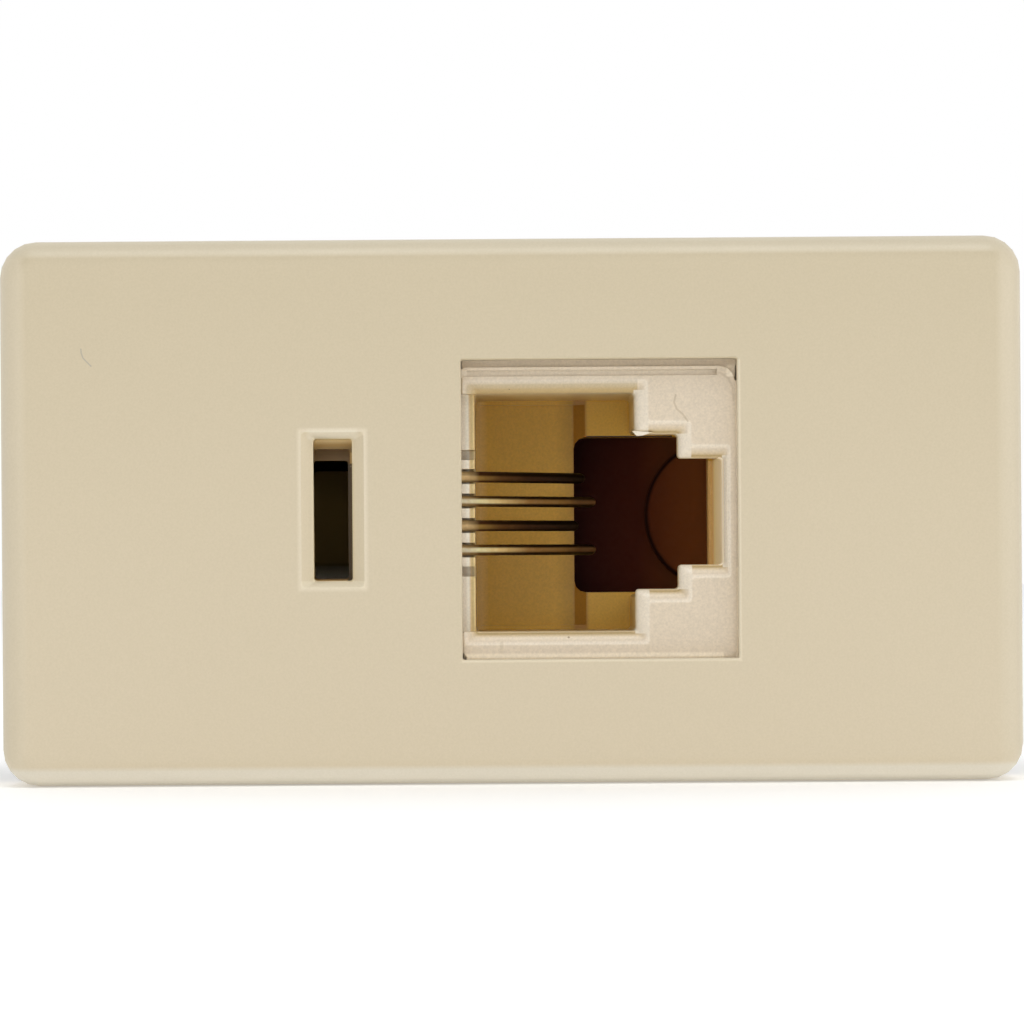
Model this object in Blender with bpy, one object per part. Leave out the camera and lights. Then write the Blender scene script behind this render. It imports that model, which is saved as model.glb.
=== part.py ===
"""Telephone wall socket: a snap-in module with a six-way line jack.

X runs along the face, Z up the face and Y into the wall. The origin lies in
the plane in which the cover's two ends rest on the support frame, at the
middle of the module. All sizes are in metres.
"""
import math

import bmesh
import bpy
from mathutils import Vector
from mathutils.geometry import interpolate_bezier

MM = 0.001

# Fits between pieces
FIT = 0.3 * MM
NOSE_FIT = 0.06 * MM
WIRE_FIT = 0.08 * MM
OVERCUT = 0.1 * MM
CLEAN_DISTANCE = 0.001 * MM
SHARP_ANGLE = math.radians(35)

# Front cover
FACE_LENGTH = 42.2 * MM
FACE_WIDTH = 22.5 * MM
COVER_RISE = 6.5 * MM
EDGE_ROUND = 1.1 * MM
CORNER_ROUND = 1.5 * MM
PLATE_THICKNESS = 1.8 * MM
END_WALL = 1.8 * MM
LONG_WALL = 1.5 * MM
LEDGE_DEPTH = 1.4 * MM
LEDGE_WIDTH = 1.2 * MM
INNER_ROUND = 0.6 * MM
TONGUE_OFFSET = 0.26 * FACE_LENGTH
TONGUE_WIDTH = 6.0 * MM
TONGUE_LENGTH = 6.5 * MM
TONGUE_THICKNESS = 1.2 * MM
CATCH_WIDTH = 2.6 * MM
CATCH_START = 3.5 * MM
CATCH_LENGTH = 1.4 * MM
CATCH_HEIGHT = 1.0 * MM
FENCE_WALL = 1.0 * MM
FENCE_DEPTH = 3.6 * MM
FENCE_GAP = 0.28 * MM
OPENING_CORNER = 0.08 * MM
OPENING_BREAK = 0.06 * MM

# Slot in the cover
SLOT_X = -0.1746 * FACE_LENGTH
SLOT_Z = 0.08 * MM
SLOT_WIDTH = 1.6 * MM
SLOT_HEIGHT = 5.86 * MM
SLOT_CORNER = 0.12 * MM
SLOT_RIM_CORNER = 0.16 * MM
SLOT_BEVEL_SIDE = 0.49 * MM
SLOT_BEVEL_END = 0.27 * MM
SLOT_BEVEL_DEPTH = 0.45 * MM
SLOT_COLLAR_WALL = 0.9 * MM
SLOT_COLLAR_DEPTH = 1.5 * MM
SLOT_COLLAR_CORNER = 0.5 * MM
SLOT_FIRST_STEP = 0.36 * MM
SLOT_SECOND_STEP = 0.41 * MM
SLOT_STEP_RISE = 1.2 * MM
SLOT_STEP_DRAFT = 0.04 * MM
SLOT_STEP_LEAN = 0.08 * MM

# Rear housing
BODY_WALL = 1.25 * MM
BODY_HALF_LENGTH = FACE_LENGTH / 2 - END_WALL - FIT
BODY_HALF_WIDTH = FACE_WIDTH / 2 - LONG_WALL - FIT
INNER_HALF_LENGTH = BODY_HALF_LENGTH - BODY_WALL
INNER_HALF_WIDTH = BODY_HALF_WIDTH - BODY_WALL
BODY_COLLAR = 3.0 * MM
BODY_ROUND = 1.2 * MM
BODY_REAR_ROUND = 0.8 * MM
FRAME_THICKNESS = 1.6 * MM
HOOK_REACH = 1.4 * MM
HOOK_LAND = 0.8 * MM
HOOK_RAMP = 3.8 * MM
HOOK_WIDTH = 3.0 * MM
HOOK_OFFSET = 5.5 * MM
LATCH_WIDTH = 7.0 * MM
LATCH_SLIT = 0.8 * MM
LATCH_LENGTH = 11.0 * MM
GUIDE_WIDTH = 1.0 * MM
GUIDE_HEIGHT = 0.9 * MM
GUIDE_INSET = 2.4 * MM
POST_INSET = 2.1 * MM
POST_X = INNER_HALF_LENGTH - POST_INSET
POST_Z = INNER_HALF_WIDTH - POST_INSET
POST_RADIUS = 1.7 * MM
PIN_RADIUS = 0.9 * MM
PIN_LENGTH = 2.4 * MM

# Jack housing, measured from its contact-side wall; the stepped, keyed plug cavity with
# its comb and spring wires is the form that takes the most skill
JACK_X = -0.0341 * FACE_LENGTH
JACK_Z = -0.08 * MM
CAVITY_WIDTH = 0.4373 * FACE_WIDTH
CAVITY_HEIGHT = 0.1553 * FACE_LENGTH
KEY_WIDTH = 0.2844 * FACE_WIDTH
KEY_HEIGHT = 0.0419 * FACE_LENGTH
TAB_WIDTH = 0.1956 * FACE_WIDTH
TAB_HEIGHT = 0.0443 * FACE_LENGTH
TAB_ROOM = 0.3022 * FACE_WIDTH
LATCH_LIP = 1.6 * MM
ROOM_RELIEF = 0.08 * MM
CAVITY_CORNER = 0.15 * MM
CAVITY_DEPTH = 12.1 * MM
TAB_END_EASE = 0.45
JACK_RECESS = 0.7 * MM
JACK_REAR_WALL = 1.3 * MM
REAR_STEP = 0.5 * MM
REAR_STEP_MARGIN = 0.1 * MM
JACK_HALF_WIDTH = INNER_HALF_WIDTH - FENCE_GAP - FENCE_WALL - FIT
JACK_SIDE_WALL = JACK_HALF_WIDTH - CAVITY_WIDTH / 2
JACK_TAB_WALL = 1.2 * MM
JACK_CORNER = 0.5 * MM
NOSE_SIDE_WALL = 0.635 * JACK_SIDE_WALL
NOSE_TAB_WALL = 0.51 * MM
NOSE_COMB_WALL = 0.56 * MM
NOSE_TOP_GAP = 0.3 * MM
NOSE_CORNERS = (0.25 * MM, 0.3 * MM, 0.65 * MM, 0.12 * MM)
NOSE_STEP = 0.28 * MM
MOUTH_ROUND = 0.55 * NOSE_SIDE_WALL
COMB_WALL = 1.65 * MM
COMB_DEPTH = 2.2 * MM
COMB_ROUND = 0.3 * MM
WINDOW_START = 0.0998 * FACE_LENGTH
WINDOW_CORNERS = (0.5 * MM, 0.1 * MM, 0.1 * MM, 0.5 * MM)
POCKET_DEPTH = 0.35 * JACK_SIDE_WALL
NOSE_GROOVE = 0.25 * MM

# Contact wires
CONTACT_COUNT = 4
CONTACT_PITCH = 0.1037 * CAVITY_WIDTH
SPARE_GAP = 0.42 * MM
SPARE_GAP_PLACE = (CONTACT_COUNT / 2 + 0.375) * CONTACT_PITCH
WIRE_DIAMETER = 0.46 * MM
WIRE_RADIUS = WIRE_DIAMETER / 2
WIRE_X = JACK_X - COMB_WALL - FIT - WIRE_RADIUS
WIRE_BEND = 0.75 * MM
WIRE_SLANT = math.radians(51.5)
WIRE_REACH = (4.56 * MM, 5.02 * MM, 4.26 * MM, 5.02 * MM)
TIP_TAPER = (0.35, 0.8, 1.0)
TIP_PLACES = (1.0, 0.99, 0.97, 0.5)
TAIL_BEND = 0.5 * MM
TAIL_LENGTH = 1.6 * MM

# Contact carrier beside the jack
CARRIER_WIDTH = 6.6 * MM
CARRIER_LENGTH = 10.4 * MM
CARRIER_CHAMFER = 0.8 * MM
NICK_CORNER = 0.3 * MM

# Carrier plate behind the jack
PLATE_GAP = 1.1 * MM
BOARD_THICKNESS = 1.6 * MM
BOARD_ROUND = 0.8 * MM
BOSS_RADIUS = 3.3 * MM
BOSS_PAST_TAB = 0.48 * MM
BOSS_EDGE = 0.2 * MM
RAIL_WIDTH = 1.2 * MM
TOWER_WIDTH = 2.6 * MM
TOWER_HEIGHT = 4.44 * MM
TOWER_DROP = 0.155 * MM
TOWER_LENGTH = 8.4 * MM
TOWER_TAPER = 0.25 * MM
TOWER_SLOPE = 0.9 * MM
TOWER_CORNER = 0.2 * MM
TOWER_GAP = 0.23 * MM
RIB_THICKNESS = 0.9 * MM
RIB_HEIGHT = 1.6 * MM

# Screw terminals
TERMINAL_PITCH = 0.496 * INNER_HALF_LENGTH
WIRING_ROOM = 3.8 * MM
CHAMBER_PARTITION = 2.2 * MM
CHAMBER_WIDTH = TERMINAL_PITCH - CHAMBER_PARTITION
CHAMBER_DEPTH = 5.8 * MM
CHAMBER_FLOOR = 1.6 * MM
CHAMBER_TOP = 1.2 * MM
CHAMBER_ROOF = 1.2 * MM
CHAMBER_CORNER = 0.4 * MM
TERMINAL_ROOM = min(CHAMBER_WIDTH, INNER_HALF_WIDTH - CHAMBER_TOP)
ENTRY_WIDTH = 3.6 * MM
ENTRY_SILL = 0.3 * MM
TERMINAL_THICKNESS = 0.8 * MM
TERMINAL_CORNER = 0.3 * MM
TAG_WIDTH = 2.0 * MM
TAG_THICKNESS = 0.6 * MM
TAG_LENGTH = 2.8 * MM
TAG_CLEARANCE = 0.24 * MM
CLAMP_MARGIN = 0.6 * MM
CLAMP_SIZE = TERMINAL_ROOM - 2 * CLAMP_MARGIN
CLAMP_THICKNESS = 0.7 * MM
CLAMP_LIP = 0.5 * MM
CLAMP_LIP_WIDTH = 0.56 * MM
CLAMP_OPENING = 1.0 * MM
SCREW_Z = -INNER_HALF_WIDTH + FIT + CLAMP_SIZE / 2
SCREW_SHANK = 0.197 * TERMINAL_ROOM
SCREW_HEAD = TERMINAL_ROOM / 2 - CLAMP_MARGIN - OVERCUT
SCREW_HEAD_HEIGHT = 1.7 * MM
SCREW_SIDE_HEIGHT = 1.0 * MM
SCREW_DOME_INSET = 0.26 * MM
SCREW_DOME_HEIGHT = 1.46 * MM
SCREW_CROWN_INSET = 0.78 * MM
SCREW_POINT_INSET = 0.4 * MM
SCREW_RECESS = 0.9 * MM
SCREW_SLOT = 0.8 * MM
SCREW_CROSS_SHARE = 0.55
COLLAR_WALL = 0.5 * MM
COLLAR_RADIUS = SCREW_SHANK + COLLAR_WALL
COLLAR_LENGTH = 1.3 * MM

# Inner leads
LEAD_DIAMETER = 0.9 * MM
LEAD_SLACK = 0.5
LEAD_TURN = 1.5 * MM
LEAD_POINTS = 22
SLEEVE_DIAMETER = 1.3 * MM
SLEEVE_LENGTH = 1.6 * MM

# Places worked out from the sizes above
FRONT_Y = -COVER_RISE
PLATE_BACK_Y = FRONT_Y + PLATE_THICKNESS
LEDGE_Y = PLATE_BACK_Y + LEDGE_DEPTH
NOSE_Y = FRONT_Y + JACK_RECESS
SHOULDER_Y = PLATE_BACK_Y + FIT
CAVITY_END_Y = NOSE_Y + CAVITY_DEPTH + REAR_STEP
JACK_END_Y = CAVITY_END_Y + JACK_REAR_WALL
BOARD_Y = JACK_END_Y + PLATE_GAP
BOARD_BACK_Y = BOARD_Y + BOARD_THICKNESS
FLOOR_Y = BOARD_BACK_Y + WIRING_ROOM
CHAMBER_Y = FLOOR_Y + CHAMBER_FLOOR
BODY_DEPTH = CHAMBER_Y + CHAMBER_DEPTH
COMB_SLOT = WIRE_DIAMETER + 2 * WIRE_FIT
CARRIER_THICKNESS = WIRE_X + WIRE_RADIUS - SLOT_X - TOWER_WIDTH / 2 - TOWER_GAP
BOSS_X = JACK_X + CAVITY_HEIGHT + KEY_HEIGHT + TAB_HEIGHT + BOSS_PAST_TAB
WIRE_BEND_Y = SHOULDER_Y + WIRE_BEND + WIRE_RADIUS + WIRE_FIT
TAIL_Y = BOARD_BACK_Y + TAIL_BEND + WIRE_RADIUS + FIT
CHAMBER_HIGH = -CHAMBER_TOP
TAG_TOP = CHAMBER_HIGH - FIT
TERMINAL_Y = CHAMBER_Y + FIT
CLAMP_Y = TERMINAL_Y + TERMINAL_THICKNESS + CLAMP_OPENING
HEAD_Y = CLAMP_Y + CLAMP_THICKNESS + FIT


def remove_old_objects():
    """Empty the scene before the model is made."""
    for item in list(bpy.data.objects):
        bpy.data.objects.remove(item, do_unlink=True)


def linear(channel):
    """Turn one sRGB channel from 0 to 255 into its linear value."""
    share = channel / 255
    if share <= 0.04045:
        return share / 12.92
    return ((share + 0.055) / 1.055) ** 2.4


def make_material(name, colour, roughness, metallic=0.0):
    """Make a plain Principled material from an sRGB hex colour."""
    material = bpy.data.materials.new(name)
    material.use_nodes = True
    shader = material.node_tree.nodes["Principled BSDF"]
    channels = [linear(int(colour[start:start + 2], 16)) for start in (0, 2, 4)]
    shader.inputs["Base Color"].default_value = (*channels, 1.0)
    shader.inputs["Roughness"].default_value = roughness
    shader.inputs["Metallic"].default_value = metallic
    return material


def rectangle(low_a, high_a, low_b, high_b):
    """Return the four corners of a rectangle, anticlockwise."""
    return [(low_a, low_b), (high_a, low_b), (high_a, high_b), (low_a, high_b)]


def centred(length, width):
    """Return a rectangle around the origin."""
    return rectangle(-length / 2, length / 2, -width / 2, width / 2)


def circle(radius, sides, centre=(0.0, 0.0)):
    """Return the points of a round outline."""
    turns = [2 * math.pi * step / sides for step in range(sides)]
    return [(centre[0] + radius * math.cos(turn), centre[1] + radius * math.sin(turn)) for turn in turns]


def fillet(corners, radius, steps=4):
    """Round the corners of a closed outline; radius is one value or one for each corner."""
    radii = radius if isinstance(radius, (list, tuple)) else [radius] * len(corners)
    outline = []
    for index, corner in enumerate(corners):
        here = Vector(corner)
        back = Vector(corners[index - 1]) - here
        ahead = Vector(corners[(index + 1) % len(corners)]) - here
        half_angle = back.angle(ahead) / 2
        reach = min(radii[index] / math.tan(half_angle), 0.49 * back.length, 0.49 * ahead.length)
        if reach == 0:
            outline.append(tuple(here))
            continue
        bisector = (back.normalized() + ahead.normalized()).normalized()
        centre = here + bisector * reach / math.cos(half_angle)
        start = here + back.normalized() * reach - centre
        end = here + ahead.normalized() * reach - centre
        first = math.atan2(start.y, start.x)
        sweep = math.atan2(end.y, end.x) - first
        sweep = (sweep + math.pi) % (2 * math.pi) - math.pi
        for step in range(steps + 1):
            turn = first + sweep * step / steps
            point = centre + Vector((math.cos(turn), math.sin(turn))) * start.length
            outline.append(tuple(point))
    return outline


def grow(corners, distance):
    """Move every edge of an anticlockwise outline outwards by a distance."""
    moved = []
    for index, corner in enumerate(corners):
        here = Vector(corner)
        back = (here - Vector(corners[index - 1])).normalized()
        ahead = (Vector(corners[(index + 1) % len(corners)]) - here).normalized()
        normal_back = Vector((back.y, -back.x))
        normal_ahead = Vector((ahead.y, -ahead.x))
        mitre = (normal_back + normal_ahead) / (1 + normal_back.dot(normal_ahead))
        moved.append(tuple(here + mitre * distance))
    return moved


def place_point(first, second, depth, along):
    """Turn an outline point and a depth into a point in space."""
    if along == "x":
        return (depth, first, second)
    if along == "y":
        return (first, depth, second)
    return (first, second, depth)


def loft(name, sections, along="y"):
    """Skin closed outlines of equal length into one closed solid."""
    mesh = bpy.data.meshes.new(name)
    work = bmesh.new()
    rings = []
    for depth, outline in sections:
        rings.append([work.verts.new(place_point(a, b, depth, along)) for a, b in outline])
    for ring, following in zip(rings, rings[1:]):
        for index, vert in enumerate(ring):
            after = (index + 1) % len(ring)
            work.faces.new((vert, ring[after], following[after], following[index]))
    work.faces.new(rings[0])
    work.faces.new(rings[-1])
    bmesh.ops.recalc_face_normals(work, faces=work.faces)
    work.to_mesh(mesh)
    work.free()
    solid = bpy.data.objects.new(name, mesh)
    bpy.context.collection.objects.link(solid)
    return solid


def prism(name, outline, low, high, along="y"):
    """Extrude one outline between two depths."""
    return loft(name, [(low, outline), (high, outline)], along)


def block(name, x_range, y_range, z_range):
    """Make a rectangular block."""
    return prism(name, rectangle(*x_range, *z_range), *y_range)


def turned(name, profile, sides=20, centre=(0.0, 0.0)):
    """Turn a profile of radius and depth pairs about an axis along Y."""
    return loft(name, [(depth, circle(radius, sides, centre)) for radius, depth in profile])


def combine(target, tool, operation):
    """Join a tool to a solid or cut it away, then drop the tool."""
    change = target.modifiers.new(operation.lower(), "BOOLEAN")
    change.operation = operation
    change.solver = "EXACT"
    change.object = tool
    graph = bpy.context.evaluated_depsgraph_get()
    result = bpy.data.meshes.new_from_object(target.evaluated_get(graph))
    target.modifiers.remove(change)
    target.data = result
    bpy.data.objects.remove(tool, do_unlink=True)


def add(target, *tools):
    """Fuse tools into a solid."""
    for tool in tools:
        combine(target, tool, "UNION")


def cut(target, *tools):
    """Cut tools out of a solid."""
    for tool in tools:
        combine(target, tool, "DIFFERENCE")


def finish(solid, name, material, parent, location=(0.0, 0.0, 0.0)):
    """Name a piece, give it its material and put it in its place."""
    solid.name = name
    solid.data.name = name
    solid.data.materials.clear()
    solid.data.materials.append(material)
    if solid.type == "MESH":
        work = bmesh.new()
        work.from_mesh(solid.data)
        bmesh.ops.remove_doubles(work, verts=work.verts, dist=CLEAN_DISTANCE)
        bmesh.ops.dissolve_degenerate(work, edges=work.edges, dist=CLEAN_DISTANCE)
        work.to_mesh(solid.data)
        work.free()
        solid.data.shade_smooth()
        solid.data.set_sharp_from_angle(angle=SHARP_ANGLE)
    solid.parent = parent
    solid.location = location
    return solid


def copy_piece(original, name, location):
    """Place a further copy that shares its mesh with the original."""
    piece = bpy.data.objects.new(name, original.data)
    bpy.context.collection.objects.link(piece)
    piece.parent = original.parent
    piece.location = location
    return piece


def tube(name, points, diameter, radii=None):
    """Draw a round wire along a row of points, with closed ends."""
    curve = bpy.data.curves.new(name, "CURVE")
    curve.dimensions = "3D"
    curve.bevel_depth = diameter / 2
    curve.bevel_resolution = 2
    curve.use_fill_caps = True
    spline = curve.splines.new("POLY")
    spline.points.add(len(points) - 1)
    for index, point in enumerate(points):
        spline.points[index].co = (*point, 1.0)
        if radii:
            spline.points[index].radius = radii[index]
    wire = bpy.data.objects.new(name, curve)
    bpy.context.collection.objects.link(wire)
    return wire


def row_positions(count, pitch):
    """Return the places of a row centred on zero."""
    return [(index - (count - 1) / 2) * pitch for index in range(count)]


def nose_corners():
    """Return the outline of the jack's visible front, in the jack's frame."""
    right = CAVITY_HEIGHT + KEY_HEIGHT + TAB_HEIGHT + NOSE_TAB_WALL
    half = CAVITY_WIDTH / 2 + NOSE_SIDE_WALL
    return rectangle(-NOSE_COMB_WALL, right, -half, half)


def raised_top(corners):
    """Lift an outline's upper edge by the gap that shows along the top of the jack's front."""
    extra = NOSE_TOP_GAP - NOSE_FIT
    return [(a, b + extra if b > 0 else b) for a, b in corners]


def jack_corners():
    """Return the outline of the jack's body behind the cover plate, in the jack's frame."""
    right = CAVITY_HEIGHT + KEY_HEIGHT + TAB_HEIGHT + JACK_TAB_WALL
    return rectangle(-COMB_WALL, right, -JACK_HALF_WIDTH, JACK_HALF_WIDTH)


def shifted(corners, distance):
    """Slide an outline along X."""
    return [(a + distance, b) for a, b in corners]


def cover_shell():
    """Make the hollow cap with its rounded front edges and stepped inside."""
    face = centred(FACE_LENGTH, FACE_WIDTH)
    sections = [(0.0, fillet(face, CORNER_ROUND, 5))]
    rounding_steps = 5
    for step in range(rounding_steps + 1):
        turn = math.pi / 2 * step / rounding_steps
        inset = EDGE_ROUND * (1 - math.cos(turn))
        depth = FRONT_Y + EDGE_ROUND * (1 - math.sin(turn))
        sections.append((depth, fillet(grow(face, -inset), CORNER_ROUND - inset, 5)))
    shell = loft("cover", sections)
    inside = centred(FACE_LENGTH - 2 * END_WALL, FACE_WIDTH - 2 * LONG_WALL)
    cut(shell, prism("hollow", fillet(inside, BODY_ROUND, 3), LEDGE_Y, OVERCUT))
    upper = grow(inside, -LEDGE_WIDTH)
    cut(shell, prism("recess", fillet(upper, INNER_ROUND, 3), PLATE_BACK_Y, LEDGE_Y + OVERCUT))
    return shell


def add_tongues(cover):
    """Add the four tongues whose windows snap over the body's catches."""
    inner = FACE_WIDTH / 2 - LONG_WALL
    outer = inner + TONGUE_THICKNESS
    chamfer = TONGUE_THICKNESS / 3
    profile = [(-LONG_WALL, inner), (TONGUE_LENGTH - chamfer, inner), (TONGUE_LENGTH, inner + chamfer)]
    profile += [(TONGUE_LENGTH, outer), (-LONG_WALL, outer)]
    for side in (-1, 1):
        shape = [(y, side * z) for y, z in profile]
        for place in (-TONGUE_OFFSET, TONGUE_OFFSET):
            add(cover, prism("tongue", shape, place - TONGUE_WIDTH / 2, place + TONGUE_WIDTH / 2, "x"))
            half = CATCH_WIDTH / 2 + FIT
            y_range = (CATCH_START - FIT, CATCH_START + CATCH_LENGTH + FIT)
            z_range = sorted((side * (inner - OVERCUT), side * (outer + OVERCUT)))
            cut(cover, block("window", (place - half, place + half), y_range, z_range))


def add_jack_fence(cover):
    """Add the two walls inside the cover that locate the jack's body, each with a return at its end."""
    room = shifted(grow(jack_corners(), FIT), JACK_X)
    outer = grow(room, FENCE_WALL)
    room_right, room_top = room[2]
    outer_right, outer_top = outer[2]
    return_z = room_top - 2 * FENCE_WALL
    y_range = (PLATE_BACK_Y - OVERCUT, PLATE_BACK_Y + FENCE_DEPTH)
    for side in (-1, 1):
        shape = [(JACK_X, outer_top), (JACK_X, room_top), (room_right, room_top), (room_right, return_z)]
        shape += [(outer_right, return_z), (outer_right, outer_top)]
        add(cover, prism("fence", [(a, JACK_Z + side * b) for a, b in shape], *y_range))


def cut_jack_opening(cover):
    """Cut the opening that the jack's front shows through."""
    corners = [(a + JACK_X, b + JACK_Z) for a, b in raised_top(grow(nose_corners(), NOSE_FIT))]
    outline = fillet(corners, OPENING_CORNER, 3)
    soft = fillet(grow(corners, OPENING_BREAK), OPENING_CORNER + OPENING_BREAK, 3)
    sections = [(FRONT_Y - OVERCUT, soft), (FRONT_Y, soft), (FRONT_Y + OPENING_BREAK, outline)]
    sections.append((PLATE_BACK_Y + OVERCUT, outline))
    cut(cover, loft("opening", sections))


def cut_slot(cover):
    """Cut the bevelled slot, with its collar and the two steps at its upper end."""
    hole = [(a + SLOT_X, b + SLOT_Z) for a, b in centred(SLOT_WIDTH, SLOT_HEIGHT)]
    collar = fillet(grow(hole, SLOT_COLLAR_WALL), SLOT_COLLAR_CORNER, 3)
    collar_end = PLATE_BACK_Y + SLOT_COLLAR_DEPTH
    add(cover, prism("collar", collar, PLATE_BACK_Y - OVERCUT, collar_end))
    rim = centred(SLOT_WIDTH + 2 * SLOT_BEVEL_SIDE, SLOT_HEIGHT + 2 * SLOT_BEVEL_END)
    rim = fillet([(a + SLOT_X, b + SLOT_Z) for a, b in rim], SLOT_RIM_CORNER, 3)
    sections = [(FRONT_Y - OVERCUT, rim), (FRONT_Y, rim)]
    depth = FRONT_Y + SLOT_BEVEL_DEPTH
    steps = [(0.0, SLOT_STEP_RISE), (SLOT_FIRST_STEP, SLOT_STEP_RISE), (SLOT_SECOND_STEP, None)]
    for drop, following in steps:
        if drop:
            narrowed = grow(hole, -SLOT_STEP_DRAFT)
            hole = [(a - SLOT_STEP_LEAN, b - drop if b > 0 else b) for a, b in narrowed]
        outline = fillet(hole, SLOT_CORNER, 3)
        sections.append((depth, outline))
        depth = depth + following if following else collar_end + OVERCUT
        sections.append((depth, outline))
    cut(cover, loft("slot", sections))


def make_front_cover(material, parent):
    """Make the visible face of the module."""
    cover = cover_shell()
    add_tongues(cover)
    add_jack_fence(cover)
    cut_jack_opening(cover)
    cut_slot(cover)
    return finish(cover, "front_cover", material, parent)


def cavity_corners(tab_width, key_width):
    """Return the stepped outline of the plug cavity, in the jack's frame."""
    half = CAVITY_WIDTH / 2
    key_end = CAVITY_HEIGHT + KEY_HEIGHT
    tab_end = key_end + TAB_HEIGHT
    lower = [(0.0, -half), (CAVITY_HEIGHT, -half), (CAVITY_HEIGHT, -key_width / 2)]
    if tab_width < key_width:
        lower += [(key_end, -key_width / 2), (key_end, -tab_width / 2)]
    lower.append((tab_end, -tab_width / 2))
    return lower + [(a, -b) for a, b in reversed(lower)]


def mouth_outline(spread):
    """Return the mouth's outline, widened less at the thin wall beyond the tab slot."""
    corners = grow(cavity_corners(TAB_WIDTH, KEY_WIDTH), spread)
    tab_end = max(a for a, b in corners)
    eased = [(a - TAB_END_EASE * spread if a == tab_end else a, b) for a, b in corners]
    return fillet(eased, CAVITY_CORNER, 3)


def make_jack_housing(material, parent):
    """Make the jack with its keyed cavity, contact comb and rear window."""
    corners = jack_corners()
    rear = fillet(grow(corners, -FIT), JACK_CORNER, 3)
    body = fillet(corners, JACK_CORNER, 3)
    jack = loft("jack", [(SHOULDER_Y, body), (JACK_END_Y - FIT, body), (JACK_END_Y, rear)])
    add(jack, prism("nose", fillet(nose_corners(), NOSE_CORNERS, 3), NOSE_Y, SHOULDER_Y + OVERCUT))
    step = raised_top(grow(nose_corners(), NOSE_FIT / 3))
    add(jack, prism("step", step, NOSE_Y + NOSE_STEP, SHOULDER_Y + OVERCUT / 2))
    sections = [(NOSE_Y - OVERCUT, mouth_outline(MOUTH_ROUND))]
    mouth_steps = 5
    for step in range(mouth_steps + 1):
        turn = math.pi / 2 * step / mouth_steps
        spread = MOUTH_ROUND * (1 - math.sin(turn))
        sections.append((NOSE_Y + MOUTH_ROUND * (1 - math.cos(turn)), mouth_outline(spread)))
    sections.append((NOSE_Y + LATCH_LIP, mouth_outline(0.0)))
    cut(jack, loft("mouth", sections))
    room = fillet(grow(cavity_corners(TAB_ROOM, TAB_ROOM), ROOM_RELIEF), CAVITY_CORNER, 3)
    cut(jack, prism("room", room, NOSE_Y + LATCH_LIP - OVERCUT, CAVITY_END_Y - REAR_STEP))
    cut_rear_wall(jack)
    cut_comb(jack)
    cut_side_pockets(jack)
    return finish(jack, "jack_housing", material, parent, (JACK_X, 0.0, JACK_Z))


def cut_rear_wall(jack):
    """Cut the deeper strip of the rear wall, its slope and the rear window."""
    half = CAVITY_WIDTH / 2 - REAR_STEP_MARGIN
    step_y = CAVITY_END_Y - REAR_STEP
    left = REAR_STEP_MARGIN
    strip = [(left, step_y - OVERCUT), (WINDOW_START + REAR_STEP, step_y - OVERCUT)]
    strip += [(WINDOW_START + REAR_STEP, step_y), (WINDOW_START, CAVITY_END_Y), (left, CAVITY_END_Y)]
    cut(jack, prism("strip", strip, -half, half, "z"))
    right = CAVITY_HEIGHT + KEY_HEIGHT + TAB_HEIGHT
    window = rectangle(WINDOW_START, right - REAR_STEP_MARGIN, -TAB_ROOM / 2, TAB_ROOM / 2)
    outline = fillet(window, WINDOW_CORNERS, 3)
    cut(jack, prism("window", outline, step_y - OVERCUT, JACK_END_Y + OVERCUT))


def cut_comb(jack):
    """Open the nose on the contact side and cut the comb that parts the wires."""
    half = CAVITY_WIDTH / 2
    y_range = (NOSE_Y - OVERCUT, SHOULDER_Y)
    cut(jack, block("gate", (-NOSE_COMB_WALL - OVERCUT, MOUTH_ROUND), y_range, (-half, half)))
    edge = [(-COMB_ROUND, SHOULDER_Y - OVERCUT), (OVERCUT, SHOULDER_Y - OVERCUT)]
    edge.append((OVERCUT, SHOULDER_Y + COMB_ROUND))
    edge_steps = 3
    for step in range(edge_steps + 1):
        turn = math.pi / 2 * step / edge_steps
        along = -COMB_ROUND + COMB_ROUND * math.cos(turn)
        edge.append((along, SHOULDER_Y + COMB_ROUND - COMB_ROUND * math.sin(turn)))
    cut(jack, prism("edge", edge, -half, half, "z"))
    gaps = [(place, COMB_SLOT) for place in row_positions(CONTACT_COUNT, CONTACT_PITCH)]
    gaps += [(side * SPARE_GAP_PLACE, SPARE_GAP) for side in (-1, 1)]
    for place, width in gaps:
        x_range = (-COMB_WALL - OVERCUT, OVERCUT)
        slot_y = (SHOULDER_Y - OVERCUT, SHOULDER_Y + COMB_DEPTH)
        cut(jack, block("gap", x_range, slot_y, (place - width / 2, place + width / 2)))


def cut_side_pockets(jack):
    """Cut the shallow pockets in the jack's two outer side walls and the groove on its front."""
    outer = JACK_HALF_WIDTH
    length = CAVITY_HEIGHT + KEY_HEIGHT
    middle = length / 2
    for side in (-1, 1):
        z_range = sorted((side * (outer - POCKET_DEPTH), side * (outer + OVERCUT)))
        halves = [(RIB_THICKNESS, middle - RIB_THICKNESS / 2), (middle + RIB_THICKNESS / 2, length)]
        for start, end in halves:
            y_range = (PLATE_BACK_Y + FENCE_DEPTH + FIT, JACK_END_Y - 2 * RIB_THICKNESS)
            shape = fillet(rectangle(start, end, *y_range), JACK_CORNER, 3)
            cut(jack, prism("pocket", shape, *z_range, "z"))
    top = CAVITY_WIDTH / 2 + NOSE_SIDE_WALL
    groove_z = (top - 1.5 * NOSE_GROOVE, top - 0.5 * NOSE_GROOVE)
    x_range = (-COMB_WALL, max(a for a, b in nose_corners()) - 3 * NOSE_GROOVE)
    cut(jack, block("groove", x_range, (NOSE_Y - OVERCUT, NOSE_Y + NOSE_GROOVE), groove_z))


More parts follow.
